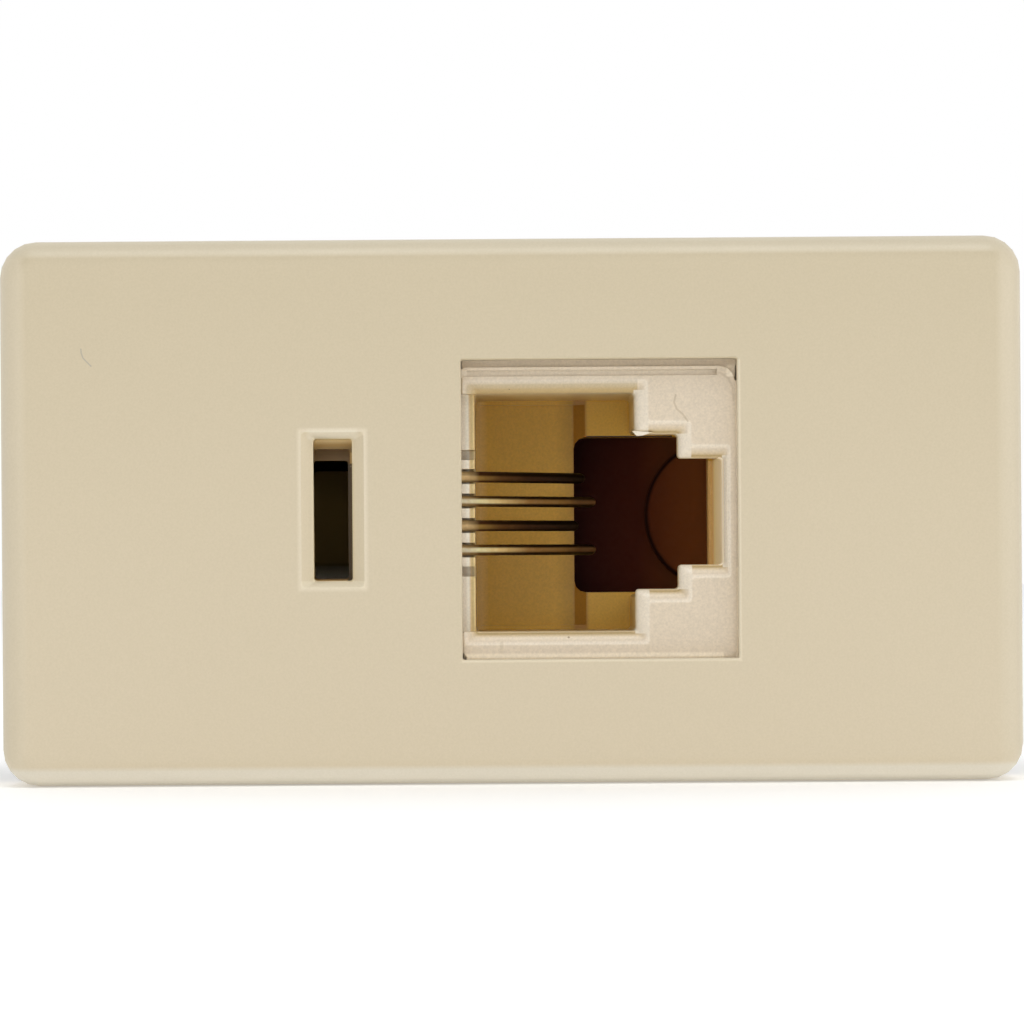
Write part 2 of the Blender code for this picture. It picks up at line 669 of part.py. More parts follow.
def contact_path(reach, tail_side):
    """Return the bent path of one contact wire, from its tip to its soldered tail."""
    bend_centre = Vector((WIRE_BEND, WIRE_BEND_Y, 0.0))
    slant = Vector((math.cos(WIRE_SLANT), math.sin(WIRE_SLANT), 0.0))
    path = []
    bend_steps = 9
    for step in range(bend_steps + 1):
        angle = math.pi + (math.pi / 2 + WIRE_SLANT) * step / bend_steps
        path.append(bend_centre + WIRE_BEND * Vector((math.cos(angle), math.sin(angle), 0.0)))
    start = path[-1]
    length = (reach - (start.x + WIRE_X - JACK_X)) / slant.x
    tip = [start + slant * length * share for share in TIP_PLACES]
    tail_turn = Vector((tail_side * TAIL_BEND, TAIL_Y - TAIL_BEND, 0.0))
    tail = []
    tail_steps = 5
    for step in range(tail_steps + 1):
        angle = math.pi / 2 * step / tail_steps
        tail.append(tail_turn + TAIL_BEND * Vector((-tail_side * math.cos(angle), math.sin(angle), 0.0)))
    tail.append(Vector((tail_side * (TAIL_BEND + TAIL_LENGTH), TAIL_Y, 0.0)))
    return tip + list(reversed(path)) + tail


def make_contact_wires(material, parent):
    """Make the four spring wires that touch the plug's contacts."""
    heights = row_positions(CONTACT_COUNT, -CONTACT_PITCH)
    for index, height in enumerate(heights):
        tail_side = -1 if index % 2 == 0 else 1
        points = contact_path(WIRE_REACH[index], tail_side)
        radii = list(TIP_TAPER) + [1.0] * (len(points) - len(TIP_TAPER))
        wire = tube("wire", points, WIRE_DIAMETER, radii)
        finish(wire, f"contact_wire_{index + 1}", material, parent, (WIRE_X, 0.0, height + JACK_Z))


def make_contact_carrier(material, parent):
    """Make the grooved block that holds the wires against the jack."""
    face_x = WIRE_X + WIRE_RADIUS
    back_x = face_x - CARRIER_THICKNESS
    end_y = BOARD_Y - FIT
    start_y = end_y - CARRIER_LENGTH
    side = [(face_x, start_y), (face_x, end_y), (back_x, end_y), (back_x, start_y + CARRIER_CHAMFER)]
    side.append((back_x + CARRIER_CHAMFER, start_y))
    half = CARRIER_WIDTH / 2
    carrier = prism("carrier", shifted(side, -WIRE_X), -half, half, "z")
    for place in row_positions(CONTACT_COUNT, CONTACT_PITCH):
        x_range = (-WIRE_RADIUS - WIRE_FIT, WIRE_RADIUS + OVERCUT)
        y_range = (start_y - OVERCUT, end_y + OVERCUT)
        cut(carrier, block("groove", x_range, y_range, (place - COMB_SLOT / 2, place + COMB_SLOT / 2)))
    for side_sign in (-1, 1):
        middle = start_y + CARRIER_LENGTH / 2
        z_range = sorted((side_sign * (half - POCKET_DEPTH), side_sign * (half + OVERCUT)))
        shape = rectangle(back_x - WIRE_X + RIB_THICKNESS, 0.0, middle - RIB_HEIGHT, middle + RIB_HEIGHT)
        cut(carrier, prism("nick", fillet(shape, NICK_CORNER, 3), *z_range, "z"))
    return finish(carrier, "contact_carrier", material, parent, (WIRE_X, 0.0, JACK_Z))


def make_carrier_plate(material, parent):
    """Make the plate behind the jack, with its boss, rails, ribs and the tower behind the slot."""
    slab = centred(2 * (INNER_HALF_LENGTH - FIT), 2 * (INNER_HALF_WIDTH - FIT))
    plate = prism("plate", fillet(slab, BOARD_ROUND, 3), 0.0, BOARD_THICKNESS)
    raised = BOARD_Y - JACK_END_Y - FIT
    profile = [(BOSS_RADIUS - BOSS_EDGE, -raised), (BOSS_RADIUS, BOSS_EDGE - raised), (BOSS_RADIUS, OVERCUT)]
    add(plate, turned("boss", profile, 40, (BOSS_X, JACK_Z)))
    jack_left = JACK_X - COMB_WALL
    jack_right = max(a for a, b in jack_corners()) + JACK_X
    for side in (-1, 1):
        outer = JACK_Z + side * (JACK_HALF_WIDTH - FIT)
        z_range = sorted((outer, outer - side * RAIL_WIDTH))
        add(plate, block("rail", (jack_left + FIT, jack_right - FIT), (-raised, OVERCUT), z_range))
    foot = [(a + SLOT_X, b - TOWER_DROP) for a, b in centred(TOWER_WIDTH, TOWER_HEIGHT)]
    front = grow(foot, -TOWER_TAPER)
    sections = [(-TOWER_LENGTH, fillet(front, TOWER_CORNER, 2))]
    lower = [(a, b - TOWER_SLOPE if b < 0 else b) for a, b in front]
    sections.append((TOWER_SLOPE - TOWER_LENGTH, fillet(lower, TOWER_CORNER, 2)))
    base = [(a, b - TOWER_SLOPE if b < 0 else b) for a, b in foot]
    sections.append((OVERCUT, fillet(base, TOWER_CORNER, 2)))
    add(plate, loft("tower", sections))
    rib_x = (jack_right + POST_X - POST_RADIUS) / 2
    for place in (-rib_x, rib_x):
        half = INNER_HALF_WIDTH - FIT - RIB_THICKNESS
        x_range = (place - RIB_THICKNESS / 2, place + RIB_THICKNESS / 2)
        add(plate, block("rib", x_range, (-RIB_HEIGHT, OVERCUT), (-half, half)))
    for side_x in (-1, 1):
        for side_z in (-1, 1):
            centre = (side_x * POST_X, side_z * POST_Z)
            profile = [(PIN_RADIUS + FIT, -OVERCUT), (PIN_RADIUS + FIT, BOARD_THICKNESS + OVERCUT)]
            cut(plate, turned("pin_hole", profile, 16, centre))
    gate_z = (CONTACT_COUNT - 1) / 2 * CONTACT_PITCH + WIRE_RADIUS + FIT
    gate_x = WIRE_RADIUS + FIT
    gate = rectangle(WIRE_X - gate_x, WIRE_X + gate_x, JACK_Z - gate_z, JACK_Z + gate_z)
    cut(plate, prism("gate", gate, -OVERCUT, BOARD_THICKNESS + OVERCUT))
    return finish(plate, "carrier_plate", material, parent, (0.0, BOARD_Y, 0.0))


def body_shell():
    """Make the open box of the rear housing with its rounded rear edges."""
    outline = centred(2 * BODY_HALF_LENGTH, 2 * BODY_HALF_WIDTH)
    sections = [(-BODY_COLLAR, fillet(outline, BODY_ROUND, 4))]
    rounding_steps = 3
    for step in range(rounding_steps + 1):
        turn = math.pi / 2 * step / rounding_steps
        inset = BODY_REAR_ROUND * (1 - math.cos(turn))
        depth = BODY_DEPTH - BODY_REAR_ROUND * (1 - math.sin(turn))
        sections.append((depth, fillet(grow(outline, -inset), BODY_ROUND - inset, 4)))
    shell = loft("body", sections)
    inside = centred(2 * INNER_HALF_LENGTH, 2 * INNER_HALF_WIDTH)
    cut(shell, prism("hollow", fillet(inside, INNER_ROUND, 3), -BODY_COLLAR - OVERCUT, FLOOR_Y))
    upper = rectangle(-INNER_HALF_LENGTH, INNER_HALF_LENGTH, CHAMBER_ROOF, INNER_HALF_WIDTH)
    rear_y = BODY_DEPTH - BODY_WALL
    cut(shell, prism("upper_room", fillet(upper, INNER_ROUND, 3), FLOOR_Y - OVERCUT, rear_y))
    for place in row_positions(3, TERMINAL_PITCH):
        x_range = (place - RIB_THICKNESS / 2, place + RIB_THICKNESS / 2)
        z_range = (CHAMBER_ROOF - OVERCUT, INNER_HALF_WIDTH + OVERCUT)
        add(shell, block("rib", x_range, (FLOOR_Y + RIB_HEIGHT, rear_y + OVERCUT), z_range))
    return shell


def add_catches(body):
    """Add the ramped catches that the cover's tongues snap over."""
    base = BODY_HALF_WIDTH
    profile = [(CATCH_START, base - OVERCUT), (CATCH_START + CATCH_LENGTH, base - OVERCUT)]
    profile += [(CATCH_START + CATCH_LENGTH, base + CATCH_HEIGHT), (CATCH_START, base + OVERCUT)]
    for side in (-1, 1):
        shape = [(y, side * z) for y, z in profile]
        for place in (-TONGUE_OFFSET, TONGUE_OFFSET):
            add(body, prism("catch", shape, place - CATCH_WIDTH / 2, place + CATCH_WIDTH / 2, "x"))


def add_frame_hooks(body):
    """Add the two fixed hooks and the springy latch that hold the module in its frame."""
    base = BODY_HALF_LENGTH
    shelf_y = FRAME_THICKNESS + FIT
    tip = base + HOOK_REACH
    profile = [(base - OVERCUT, shelf_y), (tip, shelf_y), (tip, shelf_y + HOOK_LAND)]
    profile.append((base - OVERCUT, shelf_y + HOOK_LAND + HOOK_RAMP))
    left = [(-x, y) for x, y in profile]
    for place in (-HOOK_OFFSET, HOOK_OFFSET):
        add(body, prism("hook", left, place - HOOK_WIDTH / 2, place + HOOK_WIDTH / 2, "z"))
    add(body, prism("latch", profile, -LATCH_WIDTH / 2, LATCH_WIDTH / 2, "z"))
    for side in (-1, 1):
        middle = side * (LATCH_WIDTH + LATCH_SLIT) / 2
        z_range = (middle - LATCH_SLIT / 2, middle + LATCH_SLIT / 2)
        x_range = (INNER_HALF_LENGTH - OVERCUT, BODY_HALF_LENGTH + HOOK_REACH)
        cut(body, block("slit", x_range, (-BODY_COLLAR - OVERCUT, LATCH_LENGTH), z_range))


def add_guides(body):
    """Add the guide ribs along the two long outer sides."""
    for side in (-1, 1):
        z_range = sorted((side * (BODY_HALF_WIDTH - OVERCUT), side * (BODY_HALF_WIDTH + GUIDE_HEIGHT)))
        for place in (GUIDE_INSET - BODY_HALF_LENGTH, BODY_HALF_LENGTH - GUIDE_INSET):
            x_range = (place - GUIDE_WIDTH / 2, place + GUIDE_WIDTH / 2)
            y_range = (FIT + FRAME_THICKNESS, BODY_DEPTH - 2 * BODY_REAR_ROUND)
            add(body, block("guide", x_range, y_range, z_range))


def add_posts(body):
    """Add the four corner posts and the pins that locate the carrier plate."""
    for side_x in (-1, 1):
        for side_z in (-1, 1):
            base_y = BODY_DEPTH - BODY_WALL if side_z > 0 else FLOOR_Y
            seat_y = BOARD_BACK_Y + FIT
            profile = [(PIN_RADIUS, seat_y - PIN_LENGTH), (PIN_RADIUS, seat_y), (POST_RADIUS, seat_y)]
            profile.append((POST_RADIUS, base_y + OVERCUT))
            add(body, turned("post", profile, 16, (side_x * POST_X, side_z * POST_Z)))


def cut_chambers(body):
    """Cut the terminal chambers, their wire entries and the holes in their floors."""
    for place in row_positions(CONTACT_COUNT, TERMINAL_PITCH):
        left = place - CHAMBER_WIDTH / 2
        room = rectangle(left, left + CHAMBER_WIDTH, -INNER_HALF_WIDTH, CHAMBER_HIGH)
        cut(body, prism("chamber", fillet(room, CHAMBER_CORNER, 3), CHAMBER_Y, BODY_DEPTH + OVERCUT))
        entry_y = (TERMINAL_Y + TERMINAL_THICKNESS + ENTRY_SILL, BODY_DEPTH + OVERCUT)
        entry_z = (-BODY_HALF_WIDTH - OVERCUT, -INNER_HALF_WIDTH + OVERCUT)
        cut(body, block("entry", (place - ENTRY_WIDTH / 2, place + ENTRY_WIDTH / 2), entry_y, entry_z))
        hole = [(COLLAR_RADIUS + FIT, FLOOR_Y - OVERCUT), (COLLAR_RADIUS + FIT, CHAMBER_Y + OVERCUT)]
        cut(body, turned("collar_hole", hole, 20, (place, SCREW_Z)))
        half = TAG_WIDTH / 2 + FIT
        slit_y = (FLOOR_Y - OVERCUT, CHAMBER_Y + OVERCUT)
        slit_z = (TAG_TOP - TAG_THICKNESS - TAG_CLEARANCE, TAG_TOP + TAG_CLEARANCE)
        cut(body, block("tag_slit", (place - half, place + half), slit_y, slit_z))


def make_rear_housing(material, parent):
    """Make the moulded body that holds the terminals and snaps into the frame."""
    body = body_shell()
    add_catches(body)
    add_frame_hooks(body)
    add_guides(body)
    add_posts(body)
    cut_chambers(body)
    return finish(body, "rear_housing", material, parent)


def make_terminals(material, parent):
    """Make the brass terminals: a plate with a threaded collar and a bent tag."""
    low = -INNER_HALF_WIDTH + FIT
    half = CHAMBER_WIDTH / 2 - FIT
    plate = rectangle(-half, half, low - SCREW_Z, TAG_TOP - SCREW_Z)
    terminal = prism("terminal", fillet(plate, TERMINAL_CORNER, 3), 0.0, TERMINAL_THICKNESS)
    collar_end = -COLLAR_LENGTH - FIT
    add(terminal, turned("collar", [(COLLAR_RADIUS, collar_end), (COLLAR_RADIUS, OVERCUT)], 20))
    tag_z = (TAG_TOP - TAG_THICKNESS - SCREW_Z, TAG_TOP - SCREW_Z)
    tag_end = -CHAMBER_FLOOR - FIT - TAG_LENGTH + TAG_THICKNESS
    add(terminal, block("tag", (-TAG_WIDTH / 2, TAG_WIDTH / 2), (tag_end, TERMINAL_THICKNESS / 2), tag_z))
    bore = [(SCREW_SHANK + FIT, collar_end - OVERCUT), (SCREW_SHANK + FIT, TERMINAL_THICKNESS + OVERCUT)]
    cut(terminal, turned("bore", bore, 16))
    places = row_positions(CONTACT_COUNT, TERMINAL_PITCH)
    first = finish(terminal, "terminal_1", material, parent, (places[0], TERMINAL_Y, SCREW_Z))
    for index, place in enumerate(places[1:], 2):
        copy_piece(first, f"terminal_{index}", (place, TERMINAL_Y, SCREW_Z))


def make_clamps(material, parent):
    """Make the square clamp washers with turned-down side lips."""
    half = CLAMP_SIZE / 2
    inner = half - CLAMP_LIP_WIDTH
    profile = [(-half, -CLAMP_LIP), (-inner, -CLAMP_LIP), (-inner, 0.0), (inner, 0.0), (inner, -CLAMP_LIP)]
    profile += [(half, -CLAMP_LIP), (half, CLAMP_THICKNESS), (-half, CLAMP_THICKNESS)]
    clamp = prism("clamp", profile, -half, half, "z")
    bore = [(SCREW_SHANK + FIT, -OVERCUT), (SCREW_SHANK + FIT, CLAMP_THICKNESS + OVERCUT)]
    cut(clamp, turned("bore", bore, 16))
    places = row_positions(CONTACT_COUNT, TERMINAL_PITCH)
    first = finish(clamp, "clamp_washer_1", material, parent, (places[0], CLAMP_Y, SCREW_Z))
    for index, place in enumerate(places[1:], 2):
        copy_piece(first, f"clamp_washer_{index}", (place, CLAMP_Y, SCREW_Z))


def make_screws(material, parent):
    """Make the terminal screws with domed, cross-slotted heads."""
    shank_start = TERMINAL_Y - COLLAR_LENGTH - HEAD_Y
    point = SCREW_SHANK - SCREW_POINT_INSET
    profile = [(point, shank_start), (SCREW_SHANK, shank_start + SCREW_POINT_INSET), (SCREW_SHANK, 0.0)]
    profile += [(SCREW_HEAD, 0.0), (SCREW_HEAD, SCREW_SIDE_HEIGHT)]
    profile.append((SCREW_HEAD - SCREW_DOME_INSET, SCREW_DOME_HEIGHT))
    profile.append((SCREW_HEAD - SCREW_CROWN_INSET, SCREW_HEAD_HEIGHT))
    screw = turned("screw", profile, 20)
    y_range = (SCREW_HEAD_HEIGHT - SCREW_RECESS, SCREW_HEAD_HEIGHT + OVERCUT)
    long_side = (-SCREW_HEAD - OVERCUT, SCREW_HEAD + OVERCUT)
    short_side = (-SCREW_SLOT / 2, SCREW_SLOT / 2)
    cut(screw, block("slot", long_side, y_range, short_side))
    cross = (-SCREW_HEAD * SCREW_CROSS_SHARE, SCREW_HEAD * SCREW_CROSS_SHARE)
    cut(screw, block("cross", short_side, y_range, cross))
    places = row_positions(CONTACT_COUNT, TERMINAL_PITCH)
    first = finish(screw, "terminal_screw_1", material, parent, (places[0], HEAD_Y, SCREW_Z))
    for index, place in enumerate(places[1:], 2):
        copy_piece(first, f"terminal_screw_{index}", (place, HEAD_Y, SCREW_Z))


def lead_path(start, heading, end, arrival, slack):
    """Return a smooth path between two points, leaving and arriving along X."""
    first_handle = start + Vector((heading * slack, 0.0, 0.0))
    last_handle = end - Vector((arrival * slack, 0.0, 0.0))
    return interpolate_bezier(start, first_handle, last_handle, end, LEAD_POINTS)


def make_leads(colours, parent):
    """Make the four insulated leads from the wire tails to the terminal tags."""
    heights = row_positions(CONTACT_COUNT, -CONTACT_PITCH)
    places = row_positions(CONTACT_COUNT, TERMINAL_PITCH)
    targets = (0, 3, 1, 2)
    lead_z = TAG_TOP - TAG_THICKNESS - FIT - LEAD_DIAMETER / 2
    lead_y = FLOOR_Y - FIT - LEAD_DIAMETER
    for index, (name, material) in enumerate(colours):
        heading = -1 if index % 2 == 0 else 1
        tail_end = WIRE_X + heading * (TAIL_BEND + TAIL_LENGTH + FIT)
        start = Vector((tail_end, TAIL_Y, heights[index] + JACK_Z))
        place = places[targets[index]]
        arrival = 1 if place > tail_end else -1
        end = Vector((place, lead_y, lead_z))
        slack = LEAD_SLACK * (end - start).length + LEAD_TURN * (arrival != heading)
        points = [point - start for point in lead_path(start, heading, end, arrival, slack)]
        wide = SLEEVE_DIAMETER / LEAD_DIAMETER
        radii = [wide if point.length < SLEEVE_LENGTH else 1.0 for point in points]
        lead = tube("lead", points, LEAD_DIAMETER, radii)
        finish(lead, f"lead_{name}", material, parent, tuple(start))


def build():
    """Make every piece of the socket."""
    remove_old_objects()
    root = bpy.data.objects.new("socket", None)
    bpy.context.collection.objects.link(root)
    ivory = make_material("ivory_thermoplastic", "D6C8AA", 0.42)
    cream = make_material("cream_polycarbonate", "DECFBA", 0.38)
    phenolic = make_material("brown_phenolic", "4A2A16", 0.5)
    black = make_material("dark_thermoset", "2B241E", 0.55)
    gold = make_material("gold_plated_wire", "C9A24A", 0.25, 1.0)
    brass = make_material("brass", "B89A55", 0.35, 1.0)
    zinc = make_material("zinc_plated_steel", "B4B4B0", 0.35, 1.0)
    leads = [("yellow", "D8B422"), ("green", "2F7A3C"), ("black", "1C1C1E"), ("red", "B3261E")]
    make_front_cover(ivory, root)
    make_jack_housing(cream, root)
    make_contact_wires(gold, root)
    make_contact_carrier(black, root)
    make_carrier_plate(phenolic, root)
    make_rear_housing(black, root)
    make_terminals(brass, root)
    make_clamps(zinc, root)
    make_screws(zinc, root)
    make_leads([(name, make_material(f"{name}_vinyl", colour, 0.45)) for name, colour in leads], root)


build()
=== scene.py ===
# %% [markdown]
# # A telephone wall socket, seen straight on
#
# The frame holds every solid of the socket at its real size. This lesson gives each
# one its finish: softened edges, painted light and shade that follow the depth of a
# hollow and the edges of a piece, and surfaces whose grain, gloss and marks of use are set
# in millimetres.

# %% Load the frame
import math

import bmesh
import bpy
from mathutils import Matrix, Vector


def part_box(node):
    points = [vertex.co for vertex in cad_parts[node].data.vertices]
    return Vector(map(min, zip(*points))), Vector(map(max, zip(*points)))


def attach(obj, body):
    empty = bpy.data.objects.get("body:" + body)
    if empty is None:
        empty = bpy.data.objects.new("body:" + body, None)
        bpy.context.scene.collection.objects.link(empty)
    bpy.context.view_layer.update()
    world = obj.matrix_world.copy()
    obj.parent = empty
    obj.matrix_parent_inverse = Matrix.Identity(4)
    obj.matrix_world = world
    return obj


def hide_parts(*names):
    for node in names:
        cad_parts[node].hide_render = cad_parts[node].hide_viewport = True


MM = 0.001
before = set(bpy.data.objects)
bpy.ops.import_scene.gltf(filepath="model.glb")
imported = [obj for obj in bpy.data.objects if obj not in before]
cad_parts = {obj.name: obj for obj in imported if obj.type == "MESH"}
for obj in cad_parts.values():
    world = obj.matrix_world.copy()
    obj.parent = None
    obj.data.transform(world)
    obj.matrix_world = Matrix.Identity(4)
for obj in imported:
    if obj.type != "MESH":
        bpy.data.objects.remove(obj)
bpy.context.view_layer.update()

# %% [markdown]
# ## Places that the looks need
#
# A finish that changes from place to place has to know where those places are. They
# could be typed in, but then they would slip when the part changes. So they are measured
# on the solids' boxes, and go on from there by the shares and walls that the solids use.
# X runs along the face to the right, Y into the wall and Z up.

# %% Measure the face and the jack
cover_low, cover_high = [Vector(corner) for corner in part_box("front_cover")]
jack_low, jack_high = [Vector(corner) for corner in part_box("jack_housing")]
FACE_Y = cover_low.y
FACE_LENGTH = cover_high.x - cover_low.x
FACE_WIDTH = cover_high.z - cover_low.z
NOSE_Y = jack_low.y
JACK_Z = (jack_low.z + jack_high.z) / 2
print("face", round(FACE_LENGTH / MM, 2), "by", round(FACE_WIDTH / MM, 2), "mm")
print("jack front lies", round((NOSE_Y - FACE_Y) / MM, 2), "mm behind the face")

# %% Measure the plug cavity
COMB_WALL = 1.65 * MM
TAB_WALL = 1.2 * MM
CAVITY_LENGTH = 0.1553 * FACE_LENGTH
KEY_LENGTH = 0.0419 * FACE_LENGTH
WINDOW_INSET = 0.0998 * FACE_LENGTH
CAVITY_DEPTH = 12.1 * MM
CAVITY_X = jack_low.x + COMB_WALL
CAVITY_END_X = CAVITY_X + CAVITY_LENGTH
KEY_END_X = CAVITY_END_X + KEY_LENGTH
TAB_END_X = jack_high.x - TAB_WALL
CAVITY_HALF = 0.4373 * FACE_WIDTH / 2
KEY_HALF = 0.2844 * FACE_WIDTH / 2
TAB_HALF = 2.3 * MM
WINDOW_HALF = 0.3022 * FACE_WIDTH / 2
WINDOW_X = CAVITY_X + WINDOW_INSET
REAR_WALL_Y = NOSE_Y + CAVITY_DEPTH
print("plug cavity from", round(CAVITY_X / MM, 2), "to", round(TAB_END_X / MM, 2), "mm along X")

# %% Measure the jack's nose and the slot
NOSE_SHARE = 0.635
NOSE_LEFT = CAVITY_X - 0.56 * MM
NOSE_RIGHT = TAB_END_X + 0.51 * MM
NOSE_HALF = CAVITY_HALF + NOSE_SHARE * ((jack_high.z - jack_low.z) / 2 - CAVITY_HALF)
NOSE_TOP = JACK_Z + NOSE_HALF
NOSE_BOTTOM = JACK_Z - NOSE_HALF
SHOULDER_Y = NOSE_Y + 1.4 * MM
SLOT_X = -0.1746 * FACE_LENGTH
SLOT_Z = 0.08 * MM
print("nose from", round(NOSE_BOTTOM / MM, 2), "to", round(NOSE_TOP / MM, 2), "mm along Z")

# %% [markdown]
# ## Small tools for materials
#
# A material here is a tree of nodes that starts from a point of the object, so its
# patterns stay on the piece from every side and no picture has to be wrapped round it.
# One function turns a colour written in hex into linear light, one adds a node and sets
# its values, and the others name the few steps that every finish repeats.

# %% Colour and nodes


def linear(code):
    """Turn an sRGB hex code into linear red, green, blue and alpha."""
    shares = [int(code[start:start + 2], 16) / 255 for start in (0, 2, 4)]
    light = [s / 12.92 if s <= 0.04045 else ((s + 0.055) / 1.055) ** 2.4 for s in shares]
    return (*light, 1.0)


def add_node(tree, kind, values=None, out=0, **settings):
    """Add a node, set its attributes, give its inputs values or links, and return one of its outputs."""
    node = tree.nodes.new(kind)
    for name, value in settings.items():
        setattr(node, name, value)
    for socket, value in (values or {}).items():
        if isinstance(value, bpy.types.NodeSocket):
            tree.links.new(value, node.inputs[socket])
        else:
            node.inputs[socket].default_value = value
    return node.outputs[out]


def new_material(name, roughness, metallic=0.0, ior=1.5):
    """Start a material and return its tree, its shader and the object coordinates."""
    material = bpy.data.materials.new(name)
    material.use_nodes = True
    tree = material.node_tree
    shader = tree.nodes["Principled BSDF"]
    shader.inputs["Roughness"].default_value = roughness
    shader.inputs["Metallic"].default_value = metallic
    shader.inputs["IOR"].default_value = ior
    place = add_node(tree, "ShaderNodeTexCoord", out="Object")
    return material, tree, shader, place


print("white is", linear("FFFFFF"))

# %% [markdown]
# The inputs of a node are given by name, or by number where names repeat. Map Range takes
# a value (0), the range that it comes from (1 and 2) and the range that it goes to (3 and
# 4), which is 0 to 1 unless it is given. Mix takes a share (0) and two colours (6 and 7),
# and its colour is output 2. Three steps come back in most finishes: a tint that drifts,
# a gloss that changes with a pattern, and a relief of a real depth.

# %% Steps that come back


def drifting(tree, place, size, tint, shade, low=0.3, high=0.7):
    """Return a colour that drifts between a tint and a shade, over a size in metres."""
    clouds = add_node(tree, "ShaderNodeTexNoise", {"Vector": place, "Scale": 1.0 / size, "Detail": 3.0})
    share = add_node(tree, "ShaderNodeMapRange", {0: clouds, 1: low, 2: high})
    return add_node(tree, "ShaderNodeMix", {0: share, 6: linear(tint), 7: linear(shade)}, 2, data_type="RGBA")


def gloss_over(tree, shader, pattern, sharpest, dullest, low=0.3, high=0.7):
    """Let the roughness run from sharpest to dullest with a pattern."""
    gloss = add_node(tree, "ShaderNodeMapRange", {0: pattern, 1: low, 2: high, 3: sharpest, 4: dullest})
    tree.links.new(gloss, shader.inputs["Roughness"])


def surface(tree, shader, colour, relief, depth, strength):
    """Give the shader its colour and a relief whose depth is in metres."""
    normal = add_node(tree, "ShaderNodeBump", {"Height": relief, "Distance": depth, "Strength": strength})
    tree.links.new(colour, shader.inputs["Base Color"])
    tree.links.new(normal, shader.inputs["Normal"])


def joined(tree, shares, operation):
    """Join several shares into one, by their product or by the largest."""
    result = shares[0]
    for share in shares[1:]:
        result = add_node(tree, "ShaderNodeMath", {0: result, 1: share}, operation=operation)
    return result


# %% [markdown]
# ## Painted light and shade that follow the place
#
# In pale plastic, light that has passed from wall to wall turns deeper, so a hollow grows
# amber and then brown with depth, and a thin edge looks paler than a flat. More bounces
# of light could show part of that, but not the little light that passes through the
# plastic. So that light and shade are painted into the colour: a patch, which is a box in
# space with soft sides, lays painted shade, glow or highlight where the lit piece shows
# it, either one colour or a run along an axis.

# %% Patches


def within(tree, place, low, high, fade):
    """Return 1 inside a box in space and 0 outside it."""
    steps = []
    for axis, start, end in zip("XYZ", low, high):
        value = add_node(tree, "ShaderNodeSeparateXYZ", {0: place}, axis)
        for edge, outer in ((start, start - fade), (end, end + fade)):
            steps.append(add_node(tree, "ShaderNodeMapRange", {0: value, 1: outer, 2: edge}))
    return joined(tree, steps, "MULTIPLY")


def deepening(tree, place, stops, axis="Y"):
    """Return a colour that changes along an axis; each stop is a place and a hex tint."""
    low = stops[0][0]
    high = stops[-1][0]
    value = add_node(tree, "ShaderNodeSeparateXYZ", {0: place}, axis)
    share = add_node(tree, "ShaderNodeMapRange", {0: value, 1: low, 2: high})
    ramp = add_node(tree, "ShaderNodeValToRGB", {0: share})
    keys = ramp.node.color_ramp.elements
    for depth, tint in stops[1:-1]:
        keys.new((depth - low) / (high - low)).color = linear(tint)
    keys[0].color = linear(stops[0][1])
    keys[-1].color = linear(stops[-1][1])
    return ramp


def patch(x_span, y_span, z_span, fade, tints, axis="Y"):
    """Describe a patch: its three spans, its fade in millimetres, and a tint or stops along an axis."""
    low, high = zip(x_span, y_span, z_span)
    return low, high, fade * MM, tints, axis


def around(middle, half):
    """Return the span that reaches half to each side of a place."""
    return middle - half, middle + half


def lay(tree, place, base, laid):
    """Lay one patch over a colour."""
    low, high, fade, tints, axis = laid
    colour = linear(tints) if isinstance(tints, str) else deepening(tree, place, tints, axis)
    share = within(tree, place, low, high, fade)
    return add_node(tree, "ShaderNodeMix", {0: share, 6: base, 7: colour}, 2, data_type="RGBA")


# %% [markdown]
# ## Marks of use
#
# The face has a fine curved scratch, the jack another beside its groove, and both have a
# few dark specks of dust. They are too shallow to model. A scratch is drawn as short
# strokes between places on the face, by the distance to the nearest point of a stroke,
# and the specks are the middles of a few cells of a wide cell pattern.

# %% Scratches and specks
SPECK_SPACING = 2.2 * MM
SPECK_SIZE = 0.045 * MM
SPECK_SHARE = 0.04
SPECK_TINT = "8A7350"


def specks(tree, place):
    """Return 1 on a few scattered specks and 0 elsewhere."""
    cells = add_node(tree, "ShaderNodeTexVoronoi", {"Vector": place, "Scale": 1.0 / SPECK_SPACING}, "Distance")
    reach = SPECK_SIZE / SPECK_SPACING
    near = add_node(tree, "ShaderNodeMapRange", {0: cells, 1: 0.5 * reach, 2: reach, 3: 1.0, 4: 0.0})
    drawn = add_node(tree, "ShaderNodeSeparateXYZ", {0: cells.node.outputs["Color"]}, "X")
    chosen = add_node(tree, "ShaderNodeMath", {0: drawn, 1: 1.0 - SPECK_SHARE}, operation="GREATER_THAN")
    return joined(tree, [near, chosen], "MULTIPLY")


